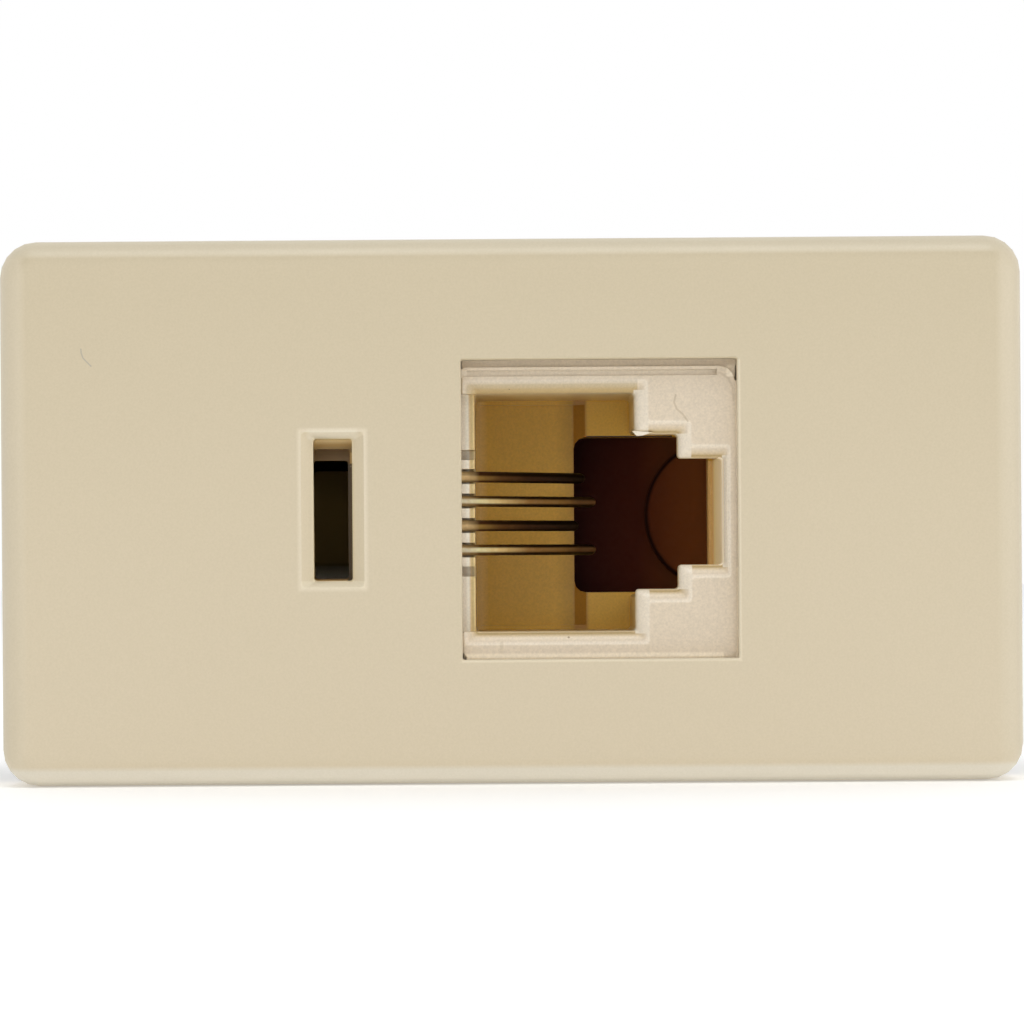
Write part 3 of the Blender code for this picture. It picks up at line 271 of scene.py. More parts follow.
def stroke(tree, place, start, end, width):
    """Return 1 on a thin stroke between two places on the face, given as X and Z in millimetres."""
    first = Vector((start[0], 0.0, start[1])) * MM
    run = Vector((end[0], 0.0, end[1])) * MM - first
    pace = run / run.length_squared
    flat = add_node(tree, "ShaderNodeVectorMath", {0: place, 1: (1.0, 0.0, 1.0)}, operation="MULTIPLY")
    off = add_node(tree, "ShaderNodeVectorMath", {0: flat, 1: first}, operation="SUBTRACT")
    reach = add_node(tree, "ShaderNodeVectorMath", {0: off, 1: pace}, "Value", operation="DOT_PRODUCT")
    held = add_node(tree, "ShaderNodeMath", {0: reach, 1: 0.0}, operation="ADD", use_clamp=True)
    foot = add_node(tree, "ShaderNodeVectorMath", {0: run, "Scale": held}, operation="SCALE")
    away = add_node(tree, "ShaderNodeVectorMath", {0: off, 1: foot}, "Value", operation="DISTANCE")
    return add_node(tree, "ShaderNodeMapRange", {0: away, 1: 0.5 * width, 2: width, 3: 1.0, 4: 0.0})


def marked(tree, place, base, marks, depth):
    """Draw marks no deeper than depth; a mark is a tint, a width, a strength and places joined by strokes."""
    inwards = add_node(tree, "ShaderNodeSeparateXYZ", {0: place}, "Y")
    shallow = add_node(tree, "ShaderNodeMapRange", {0: inwards, 1: depth, 2: depth + 0.05 * MM, 3: 1.0, 4: 0.0})
    for tint, width, strength, places in marks:
        strokes = [stroke(tree, place, start, end, width * MM) for start, end in zip(places, places[1:])]
        share = joined(tree, [joined(tree, strokes, "MAXIMUM"), shallow, strength], "MULTIPLY")
        base = add_node(tree, "ShaderNodeMix", {0: share, 6: base, 7: linear(tint)}, 2, data_type="RGBA")
    return base


# %% [markdown]
# ## Moulded thermoplastic
#
# Cover and jack are smooth thermoplastic, pressed against a polished mould: a satin
# gloss, a tint that drifts by a hundredth over a few millimetres, and a grain. The real
# grain is finer than a pixel, so it is drawn at a tenth of a millimetre to show at all.

# %% Smooth mouldings
DRIFT = 7 * MM
POLISH_GRAIN = 0.09 * MM
POLISH_DEPTH = 0.001 * MM
GLOSS_PATCHES = 2.5 * MM


def moulded_plastic(name, tint, shade, roughness, grain, patches, marks, marks_depth, glow=None):
    """Make a smooth moulded plastic with its patches of painted light and shade, its marks and, in one patch, a
    painted glow for light passing through.
    """
    material, tree, shader, place = new_material(name, roughness, ior=1.5)
    base = drifting(tree, place, DRIFT, tint, shade, 0.35, 0.65)
    for laid in patches:
        base = lay(tree, place, base, laid)
    if glow:
        tree.links.new(lay(tree, place, linear("000000"), glow), shader.inputs["Emission Color"])
        shader.inputs["Emission Strength"].default_value = 1.0
    dust = {0: specks(tree, place), 6: base, 7: linear(SPECK_TINT)}
    base = marked(tree, place, add_node(tree, "ShaderNodeMix", dust, 2, data_type="RGBA"), marks, marks_depth)
    clouds = add_node(tree, "ShaderNodeTexNoise", {"Vector": place, "Scale": 1.0 / POLISH_GRAIN, "Detail": 2.0})
    fine = add_node(tree, "ShaderNodeMapRange", {0: clouds, 1: 0.3, 2: 0.7})
    speckle = add_node(tree, "ShaderNodeMix", {0: fine, 6: linear(grain), 7: linear("FFFFFF")}, 2, data_type="RGBA")
    grained = {0: 1.0, 6: base, 7: speckle}
    colour = add_node(tree, "ShaderNodeMix", grained, 2, data_type="RGBA", blend_type="MULTIPLY")
    dulled = add_node(tree, "ShaderNodeTexNoise", {"Vector": place, "Scale": 1.0 / GLOSS_PATCHES, "Detail": 3.0})
    gloss_over(tree, shader, dulled, roughness - 0.02, roughness + 0.03)
    surface(tree, shader, colour, fine, POLISH_DEPTH, 0.4)
    return material


# %% [markdown]
# ## The ivory cover
#
# The ivory's colour carries painted light. Painted shade makes the flat of the face a
# little deeper towards the top. Painted highlights make it paler along its rounded
# border, in a line round the jack's opening and on the slot's bevel. Painted shade browns
# the slot's walls, its front step and its right cheek quickly with depth.

# %% Painted light and shade of the face
IVORY = "D5C7AB"
IVORY_SHADE = "D3C5A9"
IVORY_EDGE_HIGHLIGHT = "D8CBB1"
IVORY_BEVEL_HIGHLIGHT = "DED0B4"
OUTER = FACE_Y - 1.0 * MM
DEEP = 30 * MM
BORDER_Y = (OUTER, FACE_Y + 1.5 * MM)
face_x = around(0.0, FACE_LENGTH)
flat_x = around(0.0, FACE_LENGTH / 2 - 1.15 * MM)
flat_z = around(0.0, FACE_WIDTH / 2 - 0.75 * MM)
face_shade_tints = [(-9.0 * MM, "D7C9AE"), (0.0, "D4C6AA"), (9.0 * MM, "CFC1A4")]
mouth_x = (NOSE_LEFT - 0.06 * MM, NOSE_RIGHT + 0.15 * MM)
mouth_z = (NOSE_BOTTOM - 0.15 * MM, NOSE_TOP + 0.2 * MM)
# Painted light and shade: the whole face first takes a paler painted highlight, which stays on its rounded border.
# The flat takes painted shade, darker towards the top. The top and bottom borders and a line round the jack's
# opening take painted highlights.
face_patches = [
    patch(face_x, (OUTER, DEEP), around(0.0, FACE_WIDTH), 0.05, IVORY_EDGE_HIGHLIGHT),
    patch(flat_x, (OUTER, DEEP), flat_z, 0.3, face_shade_tints, "Z"),
    patch(face_x, BORDER_Y, (FACE_WIDTH / 2 - 0.55 * MM, FACE_WIDTH), 0.2, "D6CAB0"),
    patch(face_x, BORDER_Y, (-FACE_WIDTH, 0.6 * MM - FACE_WIDTH / 2), 0.2, "DFD7C6"),
    patch(mouth_x, (OUTER, FACE_Y + 0.68 * MM), mouth_z, 0.06, "E2D5BB"),
]
print("patches on the face", len(face_patches))

# %% Painted highlights on the slot's bevel
BEVEL_Y = (OUTER, FACE_Y + 0.5 * MM)
brow_y = (OUTER, FACE_Y + 0.7 * MM)
brow_z = (SLOT_Z + 2.98 * MM, SLOT_Z + 3.22 * MM)
# Painted highlights: a pale halo just outside the slot's rim, the bevel itself, its lower side and the brow above
# the slot.
bevel_patches = [
    patch(around(SLOT_X, 1.36 * MM), (OUTER, FACE_Y + 0.3 * MM), around(SLOT_Z, 3.27 * MM), 0.14, "E0D3BA"),
    patch(around(SLOT_X, 1.29 * MM), BEVEL_Y, around(SLOT_Z, 3.2 * MM), 0.02, IVORY_BEVEL_HIGHLIGHT),
    patch(around(SLOT_X, 1.3 * MM), BEVEL_Y, (SLOT_Z - 3.22 * MM, SLOT_Z - 2.95 * MM), 0.03, "E6DAC0"),
    patch(around(SLOT_X, 0.95 * MM), brow_y, brow_z, 0.16, "E6DBC4"),
]
print("patches on the bevel", len(bevel_patches))

# %% Painted shade inside the slot
SLOT_Y = (FACE_Y + 0.42 * MM, FACE_Y + 4.0 * MM)
slot_shade_tints = [
    (FACE_Y + 0.45 * MM, "E6D8B8"),
    (FACE_Y + 1.2 * MM, "E4CC92"),
    (FACE_Y + 1.8 * MM, "AA7C2C"),
    (FACE_Y + 3.0 * MM, "7E5E22"),
]
step_y = (FACE_Y + 1.55 * MM, FACE_Y + 1.75 * MM)
step_z = (SLOT_Z + 2.4 * MM, SLOT_Z + 3.0 * MM)
step_light_and_shade = [(SLOT_Z + 2.53 * MM, "8A6E3A"), (SLOT_Z + 2.71 * MM, "B69452"), (SLOT_Z + 2.87 * MM, "F0D8A2")]
cheek_x = (SLOT_X + 0.58 * MM, SLOT_X + 0.9 * MM)
cheek_z = (SLOT_Z - 3.0 * MM, SLOT_Z + 1.9 * MM)
cheek_shade_tints = [(FACE_Y + 0.45 * MM, "D8C8A4"), (FACE_Y + 0.75 * MM, "A08450"), (FACE_Y + 1.6 * MM, "5A4218")]
# Painted shade: the slot's walls brown with depth. Its front step is painted dark below a painted highlight at its
# top edge, and its right cheek darkens with depth.
slot_patches = [
    patch(around(SLOT_X, 0.86 * MM), SLOT_Y, around(SLOT_Z, 3.0 * MM), 0.05, slot_shade_tints),
    patch(around(SLOT_X, 0.9 * MM), step_y, step_z, 0.03, step_light_and_shade, "Z"),
    patch(cheek_x, SLOT_Y, cheek_z, 0.05, cheek_shade_tints),
]
print("patches in the slot", len(slot_patches))

# %% Make the ivory
SATIN = 0.4
FACE_MARKS_Y = FACE_Y + 0.1 * MM
face_scratch = [(-17.68, 6.76), (-17.67, 6.61), (-17.6, 6.4), (-17.4, 6.19), (-17.27, 6.06)]
face_marks = [("A9A194", 0.035, 0.7, face_scratch)]
ivory_patches = face_patches + bevel_patches + slot_patches
ivory = moulded_plastic(
    "ivory_thermoplastic", IVORY, IVORY_SHADE, SATIN, "FAFAF8", ivory_patches, face_marks, FACE_MARKS_Y
)
print("ivory has", len(ivory_patches), "patches")

# %% [markdown]
# ## The cream jack
#
# The jack is a creamier and glossier plastic than the cover. Its front is pale, with a
# groove along the top and a fine seam on the right and below, both painted lighter than
# their shade. The mouth of the cavity rolls in over a rounded lip, with a painted
# highlight at its ridge and painted shade just behind it. The cavity itself is painted
# from cream to a deep amber at its rear wall, a painted shade and glow of the hollow.

# %% Painted light on the jack's front
CREAM = "E1D1B9"
CREAM_SHADE = "DECEB5"
CREAM_LIT = "F8EAD2"
FRONT_Y = (OUTER, NOSE_Y + 0.5 * MM)
groove_x = (NOSE_LEFT - 0.1 * MM, NOSE_RIGHT - 0.5 * MM)
groove_z = (NOSE_TOP - 0.42 * MM, NOSE_TOP - 0.08 * MM)
right_seam_x = (NOSE_RIGHT - 0.3 * MM, NOSE_RIGHT + 0.1 * MM)
foot_seam_x = (NOSE_LEFT - 0.1 * MM, NOSE_RIGHT - 0.45 * MM)
corner_x = (NOSE_RIGHT - 0.5 * MM, NOSE_RIGHT - 0.05 * MM)
corner_z = (NOSE_BOTTOM - 0.05 * MM, NOSE_BOTTOM + 0.5 * MM)
# Painted light: the groove is painted lighter, taking out part of its shade, and the right and lower seams take a
# painted highlight. The bottom-right corner stays a little darker.
front_patches = [
    patch(groove_x, (NOSE_Y + 0.03 * MM, NOSE_Y + 0.35 * MM), groove_z, 0.03, "EBDDC6"),
    patch(right_seam_x, FRONT_Y, (NOSE_BOTTOM - 0.1 * MM, NOSE_TOP), 0.1, CREAM_LIT),
    patch(foot_seam_x, FRONT_Y, (NOSE_BOTTOM - 0.1 * MM, NOSE_BOTTOM + 0.12 * MM), 0.1, CREAM_LIT),
    patch(corner_x, FRONT_Y, corner_z, 0.06, "DFCFB7"),
]
print("patches on the jack's front", len(front_patches))

# %% Painted highlights and shade on the rounded lips
LIP_WIDTH = 0.62 * MM
LIP_Y = (OUTER, NOSE_Y + 0.6 * MM)
lip_highlight_and_shade = [
    (NOSE_Y, CREAM),
    (NOSE_Y + 0.012 * MM, "F0E3CE"),
    (NOSE_Y + 0.04 * MM, "E4D4BC"),
    (NOSE_Y + 0.18 * MM, "DCC8A4"),
    (NOSE_Y + 0.3 * MM, "BCA270"),
    (NOSE_Y + 0.42 * MM, "F6E4C0"),
    (NOSE_Y + 0.6 * MM, "DCC8A0"),
]
top_lip_shade = [
    (NOSE_Y, CREAM),
    (NOSE_Y + 0.012 * MM, "E2D4BE"),
    (NOSE_Y + 0.05 * MM, "CCBB9A"),
    (NOSE_Y + 0.18 * MM, "CBB386"),
    (NOSE_Y + 0.32 * MM, "D6BC8A"),
    (NOSE_Y + 0.6 * MM, "DCC8A0"),
]
facing_highlight = [
    (NOSE_Y, CREAM),
    (NOSE_Y + 0.012 * MM, "EADDC8"),
    (NOSE_Y + 0.1 * MM, "F0E4D0"),
    (NOSE_Y + 0.6 * MM, "FFF8E8"),
]
lip_z = (JACK_Z - CAVITY_HALF - LIP_WIDTH, JACK_Z + CAVITY_HALF + LIP_WIDTH)
top_lip_x = (NOSE_LEFT - 0.1 * MM, CAVITY_END_X + 0.1 * MM)
top_lip_z = (JACK_Z + CAVITY_HALF - 0.05 * MM, JACK_Z + CAVITY_HALF + LIP_WIDTH)
# Painted light and shade: each lip has a painted highlight at its ridge, painted shade just behind it and a paler
# band further in. The top lip is painted darker, as shade, and the lips that face left are painted paler, as a
# highlight.
lip_patches = [
    patch((NOSE_LEFT - 0.1 * MM, TAB_END_X + 0.5 * MM), LIP_Y, lip_z, 0.04, lip_highlight_and_shade),
    patch(top_lip_x, LIP_Y, top_lip_z, 0.04, top_lip_shade),
]
for edge, half in ((CAVITY_END_X, CAVITY_HALF + 0.1 * MM), (KEY_END_X, KEY_HALF), (TAB_END_X, TAB_HALF)):
    lip_patches.append(patch((edge - 0.02 * MM, edge + 0.55 * MM), LIP_Y, around(JACK_Z, half), 0.03, facing_highlight))
print("patches on the lips", len(lip_patches))

# %% Painted shade and glow in the cavity
INNER_END = jack_high.y - 0.3 * MM
REAR_Y = (REAR_WALL_Y - 0.1 * MM, REAR_WALL_Y + 0.55 * MM)
cavity_x = (CAVITY_X - 0.01 * MM, TAB_END_X + 0.15 * MM)
cavity_z = (JACK_Z - CAVITY_HALF - 0.15 * MM, JACK_Z + CAVITY_HALF + 0.15 * MM)
cavity_shade_and_glow = [
    (NOSE_Y + 0.6 * MM, "DCC8A0"),
    (NOSE_Y + 1.6 * MM, "F2E2BE"),
    (NOSE_Y + 5.0 * MM, "F4E0B0"),
    (NOSE_Y + 11.7 * MM, "F2D48E"),
    (NOSE_Y + 12.0 * MM, "F0C448"),
]
rear_z = (JACK_Z - CAVITY_HALF - 0.1 * MM, JACK_Z + CAVITY_HALF + 0.1 * MM)
key_wall_x = (CAVITY_END_X - 0.04 * MM, CAVITY_END_X + 0.1 * MM)
key_wall_y = (NOSE_Y + 0.55 * MM, NOSE_Y + 4.0 * MM)
key_wall_z = (JACK_Z - CAVITY_HALF, JACK_Z + CAVITY_HALF)
shadow_x = (WINDOW_X - 0.12 * MM, WINDOW_X + 0.03 * MM)
ledge_x = (WINDOW_X + 0.55 * MM, KEY_END_X + 0.2 * MM)
ledge_z = (JACK_Z + WINDOW_HALF - 0.12 * MM, JACK_Z + WINDOW_HALF + 0.04 * MM)
# Painted light and shade: the cavity is painted from cream to a deep amber with depth, a painted shade and glow.
# The rear wall by the comb and the key wall are painted paler. A painted shadow lies along the window's left edge,
# and a dark painted line of shade along its top edge.
cavity_patches = [
    patch(cavity_x, (NOSE_Y + 0.55 * MM, INNER_END), cavity_z, 0.05, cavity_shade_and_glow),
    patch((CAVITY_X - 0.1 * MM, CAVITY_X + 0.15 * MM), REAR_Y, rear_z, 0.3, "F6D27C"),
    patch(key_wall_x, key_wall_y, key_wall_z, 0.03, "FFF8E4"),
    patch(shadow_x, REAR_Y, rear_z, 0.7, "D4AB3E"),
    patch(ledge_x, REAR_Y, ledge_z, 0.02, "4A3216"),
]
print("patches in the cavity", len(cavity_patches))

# %% [markdown]
# The latch side's thin end wall lets light through, most at its front and less towards
# the rear. A shader for light under the skin would need that wall's true thickness and
# many samples, so the wall gets a faint glow of its own instead, which fades with depth.

# %% Painted light and shade on the thin walls
tab_x = (TAB_END_X - 0.16 * MM, TAB_END_X + 0.15 * MM)
tab_y = (NOSE_Y + 0.45 * MM, INNER_END)
tab_z = around(JACK_Z, TAB_HALF)
tab_highlight_tints = [(NOSE_Y + 0.6 * MM, "FFF6E4"), (NOSE_Y + 9.0 * MM, "FFF4D8"), (NOSE_Y + 12.0 * MM, "E4C080")]
tab_glow = [
    (NOSE_Y + 0.5 * MM, "9C8E76"),
    (NOSE_Y + 4.0 * MM, "8A7C60"),
    (NOSE_Y + 10.5 * MM, "8A7850"),
    (NOSE_Y + 12.0 * MM, "5A4624"),
]
gate_x = (NOSE_LEFT - 0.3 * MM, CAVITY_X - 0.02 * MM)
gate_y = (NOSE_Y + 0.9 * MM, NOSE_Y + 5.0 * MM)
gate_highlight_and_shade = [
    (CAVITY_X - 0.5 * MM, CREAM_LIT),
    (CAVITY_X - 0.35 * MM, "FFF8E8"),
    (CAVITY_X - 0.27 * MM, "E3C68E"),
    (CAVITY_X - 0.19 * MM, "C8B078"),
    (CAVITY_X - 0.08 * MM, "F6DCA0"),
]
slope_x = (WINDOW_X + 0.03 * MM, WINDOW_X + 0.5 * MM)
# Painted light and shade: the tab wall is painted paler and, in the cream below, also gets a painted glow. The
# sloped step at the window's left edge carries painted shade. The comb wall has a painted highlight at its edge and
# painted shade where it rounds into the cavity.
wall_patches = [
    patch(tab_x, tab_y, tab_z, 0.04, tab_highlight_tints),
    patch(slope_x, REAR_Y, rear_z, 0.12, "C49440"),
    patch(gate_x, gate_y, (JACK_Z - CAVITY_HALF, JACK_Z + CAVITY_HALF), 0.02, gate_highlight_and_shade, "X"),
]
print("patches on the thin walls", len(wall_patches))

# %% Make the cream
POLISHED = 0.3
JACK_MARKS_Y = NOSE_Y + 1.2 * MM
# This stroke draws the groove's run round the corner as a darker line, a painted shade where the groove is not
# modelled.
groove_run_shade = [(8.38, 5.69), (8.71, 5.6), (9.0, 5.38), (9.16, 5.04), (9.2, 4.51)]
jack_scratch = [(6.81, 4.73), (6.74, 4.43), (6.85, 4.15), (7.09, 3.94), (7.3, 3.65)]
jack_marks = [
    ("C0AE92", 0.06, 0.4, groove_run_shade),
    ("B8A384", 0.05, 0.5, jack_scratch),
    ("CDBC9E", 0.09, 0.4, [(-0.45, -5.46), (-0.45, -5.83)]),
    ("8A6F48", 0.05, 0.8, [(2.31, -5.25), (2.33, -5.25)]),
]
cream_patches = front_patches + lip_patches + cavity_patches + wall_patches
cream = moulded_plastic(
    "cream_thermoplastic", CREAM, CREAM_SHADE, POLISHED, "F0F0F0", cream_patches, jack_marks, JACK_MARKS_Y,
    patch(tab_x, tab_y, tab_z, 0.04, tab_glow),
)
print("cream has", len(cream_patches), "patches")

# %% [markdown]
# ## The dark mouldings
#
# The rear body and the block that holds the wires are a dark thermoset, a plastic that
# sets for good in a hot mould. The mould was sparked and not polished, which leaves an
# even texture of a fifth of a millimetre that breaks up the gloss. It could be modelled
# as relief, but a bump is enough at that size. The plate behind the jack is a matt
# red-brown phenolic. Painted shade darkens it away from the boss and in a ring round the
# boss. Its tower is olive-brown, with a painted highlight along its lower edge.

# %% Textured mouldings


def textured_moulding(name, tint, shade, roughness, grain, depth, parts=None, gleam=0.5):
    """Make a plastic with an even sparked texture; parts adds what differs from place to place."""
    material, tree, shader, place = new_material(name, roughness, ior=1.55)
    shader.inputs["Specular IOR Level"].default_value = gleam
    base = drifting(tree, place, 5 * MM, tint, shade)
    colour = parts(tree, place, base) if parts else base
    values = {"Vector": place, "Scale": 1.0 / grain, "Detail": 4.0, "Roughness": 0.6}
    texture = add_node(tree, "ShaderNodeTexNoise", values)
    gloss_over(tree, shader, texture, roughness - 0.08, roughness + 0.08)
    surface(tree, shader, colour, texture, depth, 0.8)
    return material


dark = textured_moulding("dark_thermoset", "2C2520", "241E1A", 0.5, 0.18 * MM, 0.02 * MM)
print("made", dark.name)

# %% The brown plate
BOSS_X = TAB_END_X + 0.48 * MM
BOSS_RADIUS = 3.3 * MM
GROOVE_SHADE = "2C1410"
# Painted shade on the plate along X, darker away from the boss, and a darker painted ring of shade round the boss.
# The tower has a painted highlight along its lower edge.
plate_shade_tints = [(3.0 * MM, "2E1010"), (5.6 * MM, "4A1E14"), (9.0 * MM, "865026")]
tower_highlight_tints = [(-2.75 * MM, "FFF2DC"), (-2.5 * MM, "D8C8A8"), (-2.2 * MM, "70592E")]


def plate_parts(tree, place, base):
    """Paint shade on the plate, darker away from the boss and in a ring round it, and make the tower olive-brown
    with a painted highlight along its lower edge.
    """
    right = add_node(tree, "ShaderNodeSeparateXYZ", {0: place}, "X")
    share = add_node(tree, "ShaderNodeMapRange", {0: right, 1: 0.0, 2: 1 * MM})
    shaded_plate = deepening(tree, place, plate_shade_tints, "X")
    base = add_node(tree, "ShaderNodeMix", {0: share, 6: base, 7: shaded_plate}, 2, data_type="RGBA")
    middle = (BOSS_X, 0.0, JACK_Z)
    flat = add_node(tree, "ShaderNodeVectorMath", {0: place, 1: (1.0, 0.0, 1.0)}, operation="MULTIPLY")
    away = add_node(tree, "ShaderNodeVectorMath", {0: flat, 1: middle}, "Value", operation="DISTANCE")
    inner = {0: away, 1: BOSS_RADIUS - 0.17 * MM, 2: BOSS_RADIUS - 0.09 * MM}
    outer = {0: away, 1: BOSS_RADIUS - 0.04 * MM, 2: BOSS_RADIUS + 0.04 * MM, 3: 1.0, 4: 0.0}
    ring = [add_node(tree, "ShaderNodeMapRange", edge) for edge in (inner, outer)]
    groove = joined(tree, ring, "MULTIPLY")
    base = add_node(tree, "ShaderNodeMix", {0: groove, 6: base, 7: linear(GROOVE_SHADE)}, 2, data_type="RGBA")
    share = add_node(tree, "ShaderNodeMapRange", {0: right, 1: -5 * MM, 2: -4 * MM})
    tower = deepening(tree, place, tower_highlight_tints, "Z")
    return add_node(tree, "ShaderNodeMix", {0: share, 6: tower, 7: base}, 2, data_type="RGBA")


phenolic = textured_moulding("brown_phenolic", "6A3018", "5A2814", 0.85, 0.25 * MM, 0.01 * MM, plate_parts, 0.15)
print("boss middle at", round(BOSS_X / MM, 2), "mm along X")

# %% [markdown]
# ## Metals
#
# The terminals are rolled brass and the fasteners zinc-plated steel, both with faint
# streaks along the way they were drawn. The contact wires are gold plated. A wire this
# thin mirrors mostly the dark inside, so a pure metal would come out black: it is part
# metal and part painted colour. That colour carries a painted highlight along a narrow
# crown, bright near the mouth and fading deeper in, and painted shade along the flanks.
# The first and the third wire carry a darker painted reflection all over.

# %% Plated and rolled metal


def plated_metal(name, tint, shade, roughness, streak, painted_light=None, metallic=1.0, gleam=0.5):
    """Make a metal with streaks along Y and small changes in gloss; the optional function paints highlights and
    shade into its colour.
    """
    material, tree, shader, place = new_material(name, roughness, metallic)
    shader.inputs["Specular IOR Level"].default_value = gleam
    drawn = add_node(tree, "ShaderNodeMapping", {"Vector": place, "Scale": (1.0, 0.12, 1.0)})
    clouds = add_node(tree, "ShaderNodeTexNoise", {"Vector": drawn, "Scale": 1.0 / streak, "Detail": 3.0})
    streaks = add_node(tree, "ShaderNodeMapRange", {0: clouds, 1: 0.3, 2: 0.7})
    base = add_node(tree, "ShaderNodeMix", {0: streaks, 6: linear(tint), 7: linear(shade)}, 2, data_type="RGBA")
    colour = painted_light(tree, place, base) if painted_light else base
    gloss_over(tree, shader, streaks, roughness - 0.05, roughness + 0.08, 0.0, 1.0)
    surface(tree, shader, colour, streaks, 0.002 * MM, 0.5)
    return material


brass = plated_metal("rolled_brass", "C2A25C", "AE8C48", 0.33, 0.3 * MM)
zinc = plated_metal("zinc_plating", "BFBFBA", "A4A49C", 0.3, 0.4 * MM)
print("made", brass.name, "and", zinc.name)

# %% Painted highlight and shade of the contact wires
WIRE_PITCH = 0.1037 * 2 * CAVITY_HALF
WIRE_COUNT = 4
# The first and third wire are painted darker all over, a darker painted reflection.
DARK_PAINTED_WIRES = (1, 3)
HIGHLIGHT_HALF = 0.06 * MM
SHADE_START = 0.13 * MM
wire_heights = [JACK_Z + (1.5 - index) * WIRE_PITCH for index in range(WIRE_COUNT)]
stations = [-1.85 * MM, -1.33 * MM, -0.5 * MM, 0.77 * MM, 2.1 * MM, 2.95 * MM]
# Painted highlight on the crown and painted shade on the flanks, from the mouth inwards along X. The second pair of
# lists is the darker painted reflection.
crown_highlight = list(zip(stations, ["FFFFF0", "FFFFD8", "F6E0A8", "A8865A", "94764A", "6A5038"]))
flank_shade = list(zip(stations, ["C7AE84", "6C4E22", "3C2610", "1E0E06", "140602", "140602"]))
dark_crown_highlight = list(zip(stations, ["F6DCAB", "9C7E46", "644628", "422C20", "30221C", "201610"]))
dark_flank_shade = list(zip(stations, ["D3BC90", "4A2C18", "28160A", "100602", "0C0402", "0C0402"]))


def painted_wire_light(height, crown, flank):
    """Return a wire's painted light: a highlight along a narrow crown and shade along its flanks, both painted and
    fading with depth.
    """

    def painted_light(tree, place, base):
        up = add_node(tree, "ShaderNodeSeparateXYZ", {0: place}, "Z")
        side = add_node(tree, "ShaderNodeMath", {0: up, 1: height}, operation="SUBTRACT")
        away = add_node(tree, "ShaderNodeMath", {0: side}, operation="ABSOLUTE")
        share = add_node(tree, "ShaderNodeMapRange", {0: away, 1: HIGHLIGHT_HALF, 2: SHADE_START})
        sides = {0: share, 6: deepening(tree, place, crown, "X"), 7: deepening(tree, place, flank, "X")}
        painted_sheen = {0: 1.0, 6: base, 7: add_node(tree, "ShaderNodeMix", sides, 2, data_type="RGBA")}
        return add_node(tree, "ShaderNodeMix", painted_sheen, 2, data_type="RGBA", blend_type="MULTIPLY")

    return painted_light


print("wires at", [round(height / MM, 2) for height in wire_heights], "mm along Z")

# %% Finish each contact wire
wire_finishes = {}
for number, height in enumerate(wire_heights, 1):
    # The first and third wire take the darker painted reflection, the others the brighter painted highlight.
    if number in DARK_PAINTED_WIRES:
        painted_sheen = painted_wire_light(height - 0.05 * MM, dark_crown_highlight, dark_flank_shade)
        finish = plated_metal(f"shaded_gold_plating_{number}", "FFFFFF", "EEE8E0", 0.38, 0.2 * MM, painted_sheen, 0.2, 0.05)
    else:
        painted_sheen = painted_wire_light(height, crown_highlight, flank_shade)
        finish = plated_metal(f"gold_plating_{number}", "FFFFFF", "F6EEDC", 0.36, 0.2 * MM, painted_sheen, 0.35, 0.2)
    wire_finishes[number] = finish
    print("made", finish.name)

# %% [markdown]
# ## Insulation of the leads
#
# Four coloured leads join the wires' tails to the terminals. Their soft vinyl is pressed
# round the copper as it runs, which leaves a smooth skin with shallow waves, duller than
# the hard plastics. The bump's size is that of those waves.

# %% Lead insulation


def vinyl(name, tint, shade):
    """Make the soft vinyl of a lead's insulation."""
    material, tree, shader, place = new_material(name, 0.42, ior=1.53)
    waves = add_node(tree, "ShaderNodeTexNoise", {"Vector": place, "Scale": 1.0 / (0.3 * MM), "Detail": 3.0})
    surface(tree, shader, drifting(tree, place, 1.5 * MM, tint, shade), waves, 0.004 * MM, 0.5)
    return material


lead_colours = {
    "yellow": vinyl("yellow_vinyl", "DDB92A", "CFA91F"),
    "green": vinyl("green_vinyl", "2F7A3C", "286C34"),
    "black": vinyl("black_vinyl", "1D1D1F", "161618"),
    "red": vinyl("red_vinyl", "B5281F", "A5211A"),
}
print("materials", len(bpy.data.materials))

# %% [markdown]
# ## Softened mouldings
#
# A moulded edge is never sharp. The edges could be rounded one by one, but the solids
# already have every edge in its place. So each solid's skin is copied, its flat faces are
# joined again, and a bevel modifier runs a small rounding along its edges. Weighted
# normals then keep the flats flat and let only the roundings shade softly.

# %% Soften a solid
WELD = 0.0005 * MM
FLAT_ANGLE = math.radians(0.5)
EDGE_ANGLE = math.radians(38.0)
EDGE_STEPS = 3


def welded_mesh(node_name, name):
    """Copy a solid's skin, with its split corners and flat triangles joined again."""
    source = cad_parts[node_name]
    work = bmesh.new()
    work.from_mesh(source.data)
    work.transform(source.matrix_world)
    bmesh.ops.remove_doubles(work, verts=work.verts, dist=WELD)
    bmesh.ops.dissolve_limit(work, angle_limit=FLAT_ANGLE, verts=work.verts, edges=work.edges)
    mesh = bpy.data.meshes.new(name)
    work.to_mesh(mesh)
    work.free()
    return mesh


def soften(node_name, name, material, width):
    """Stand a softened copy in for a solid and give it its finish."""
    piece = bpy.data.objects.new(name, welded_mesh(node_name, name))
    bpy.context.collection.objects.link(piece)
    piece.data.materials.append(material)
    rounding = piece.modifiers.new("edges", "BEVEL")
    rounding.width = width
    rounding.segments = EDGE_STEPS
    rounding.limit_method = "ANGLE"
    rounding.angle_limit = EDGE_ANGLE
    rounding.harden_normals = False
    piece.data.shade_smooth()
    flats = piece.modifiers.new("flats", "WEIGHTED_NORMAL")
    flats.keep_sharp = True
    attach(piece, "root")
    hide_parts(node_name)
    print(name, "has", len(piece.data.polygons), "faces before rounding")


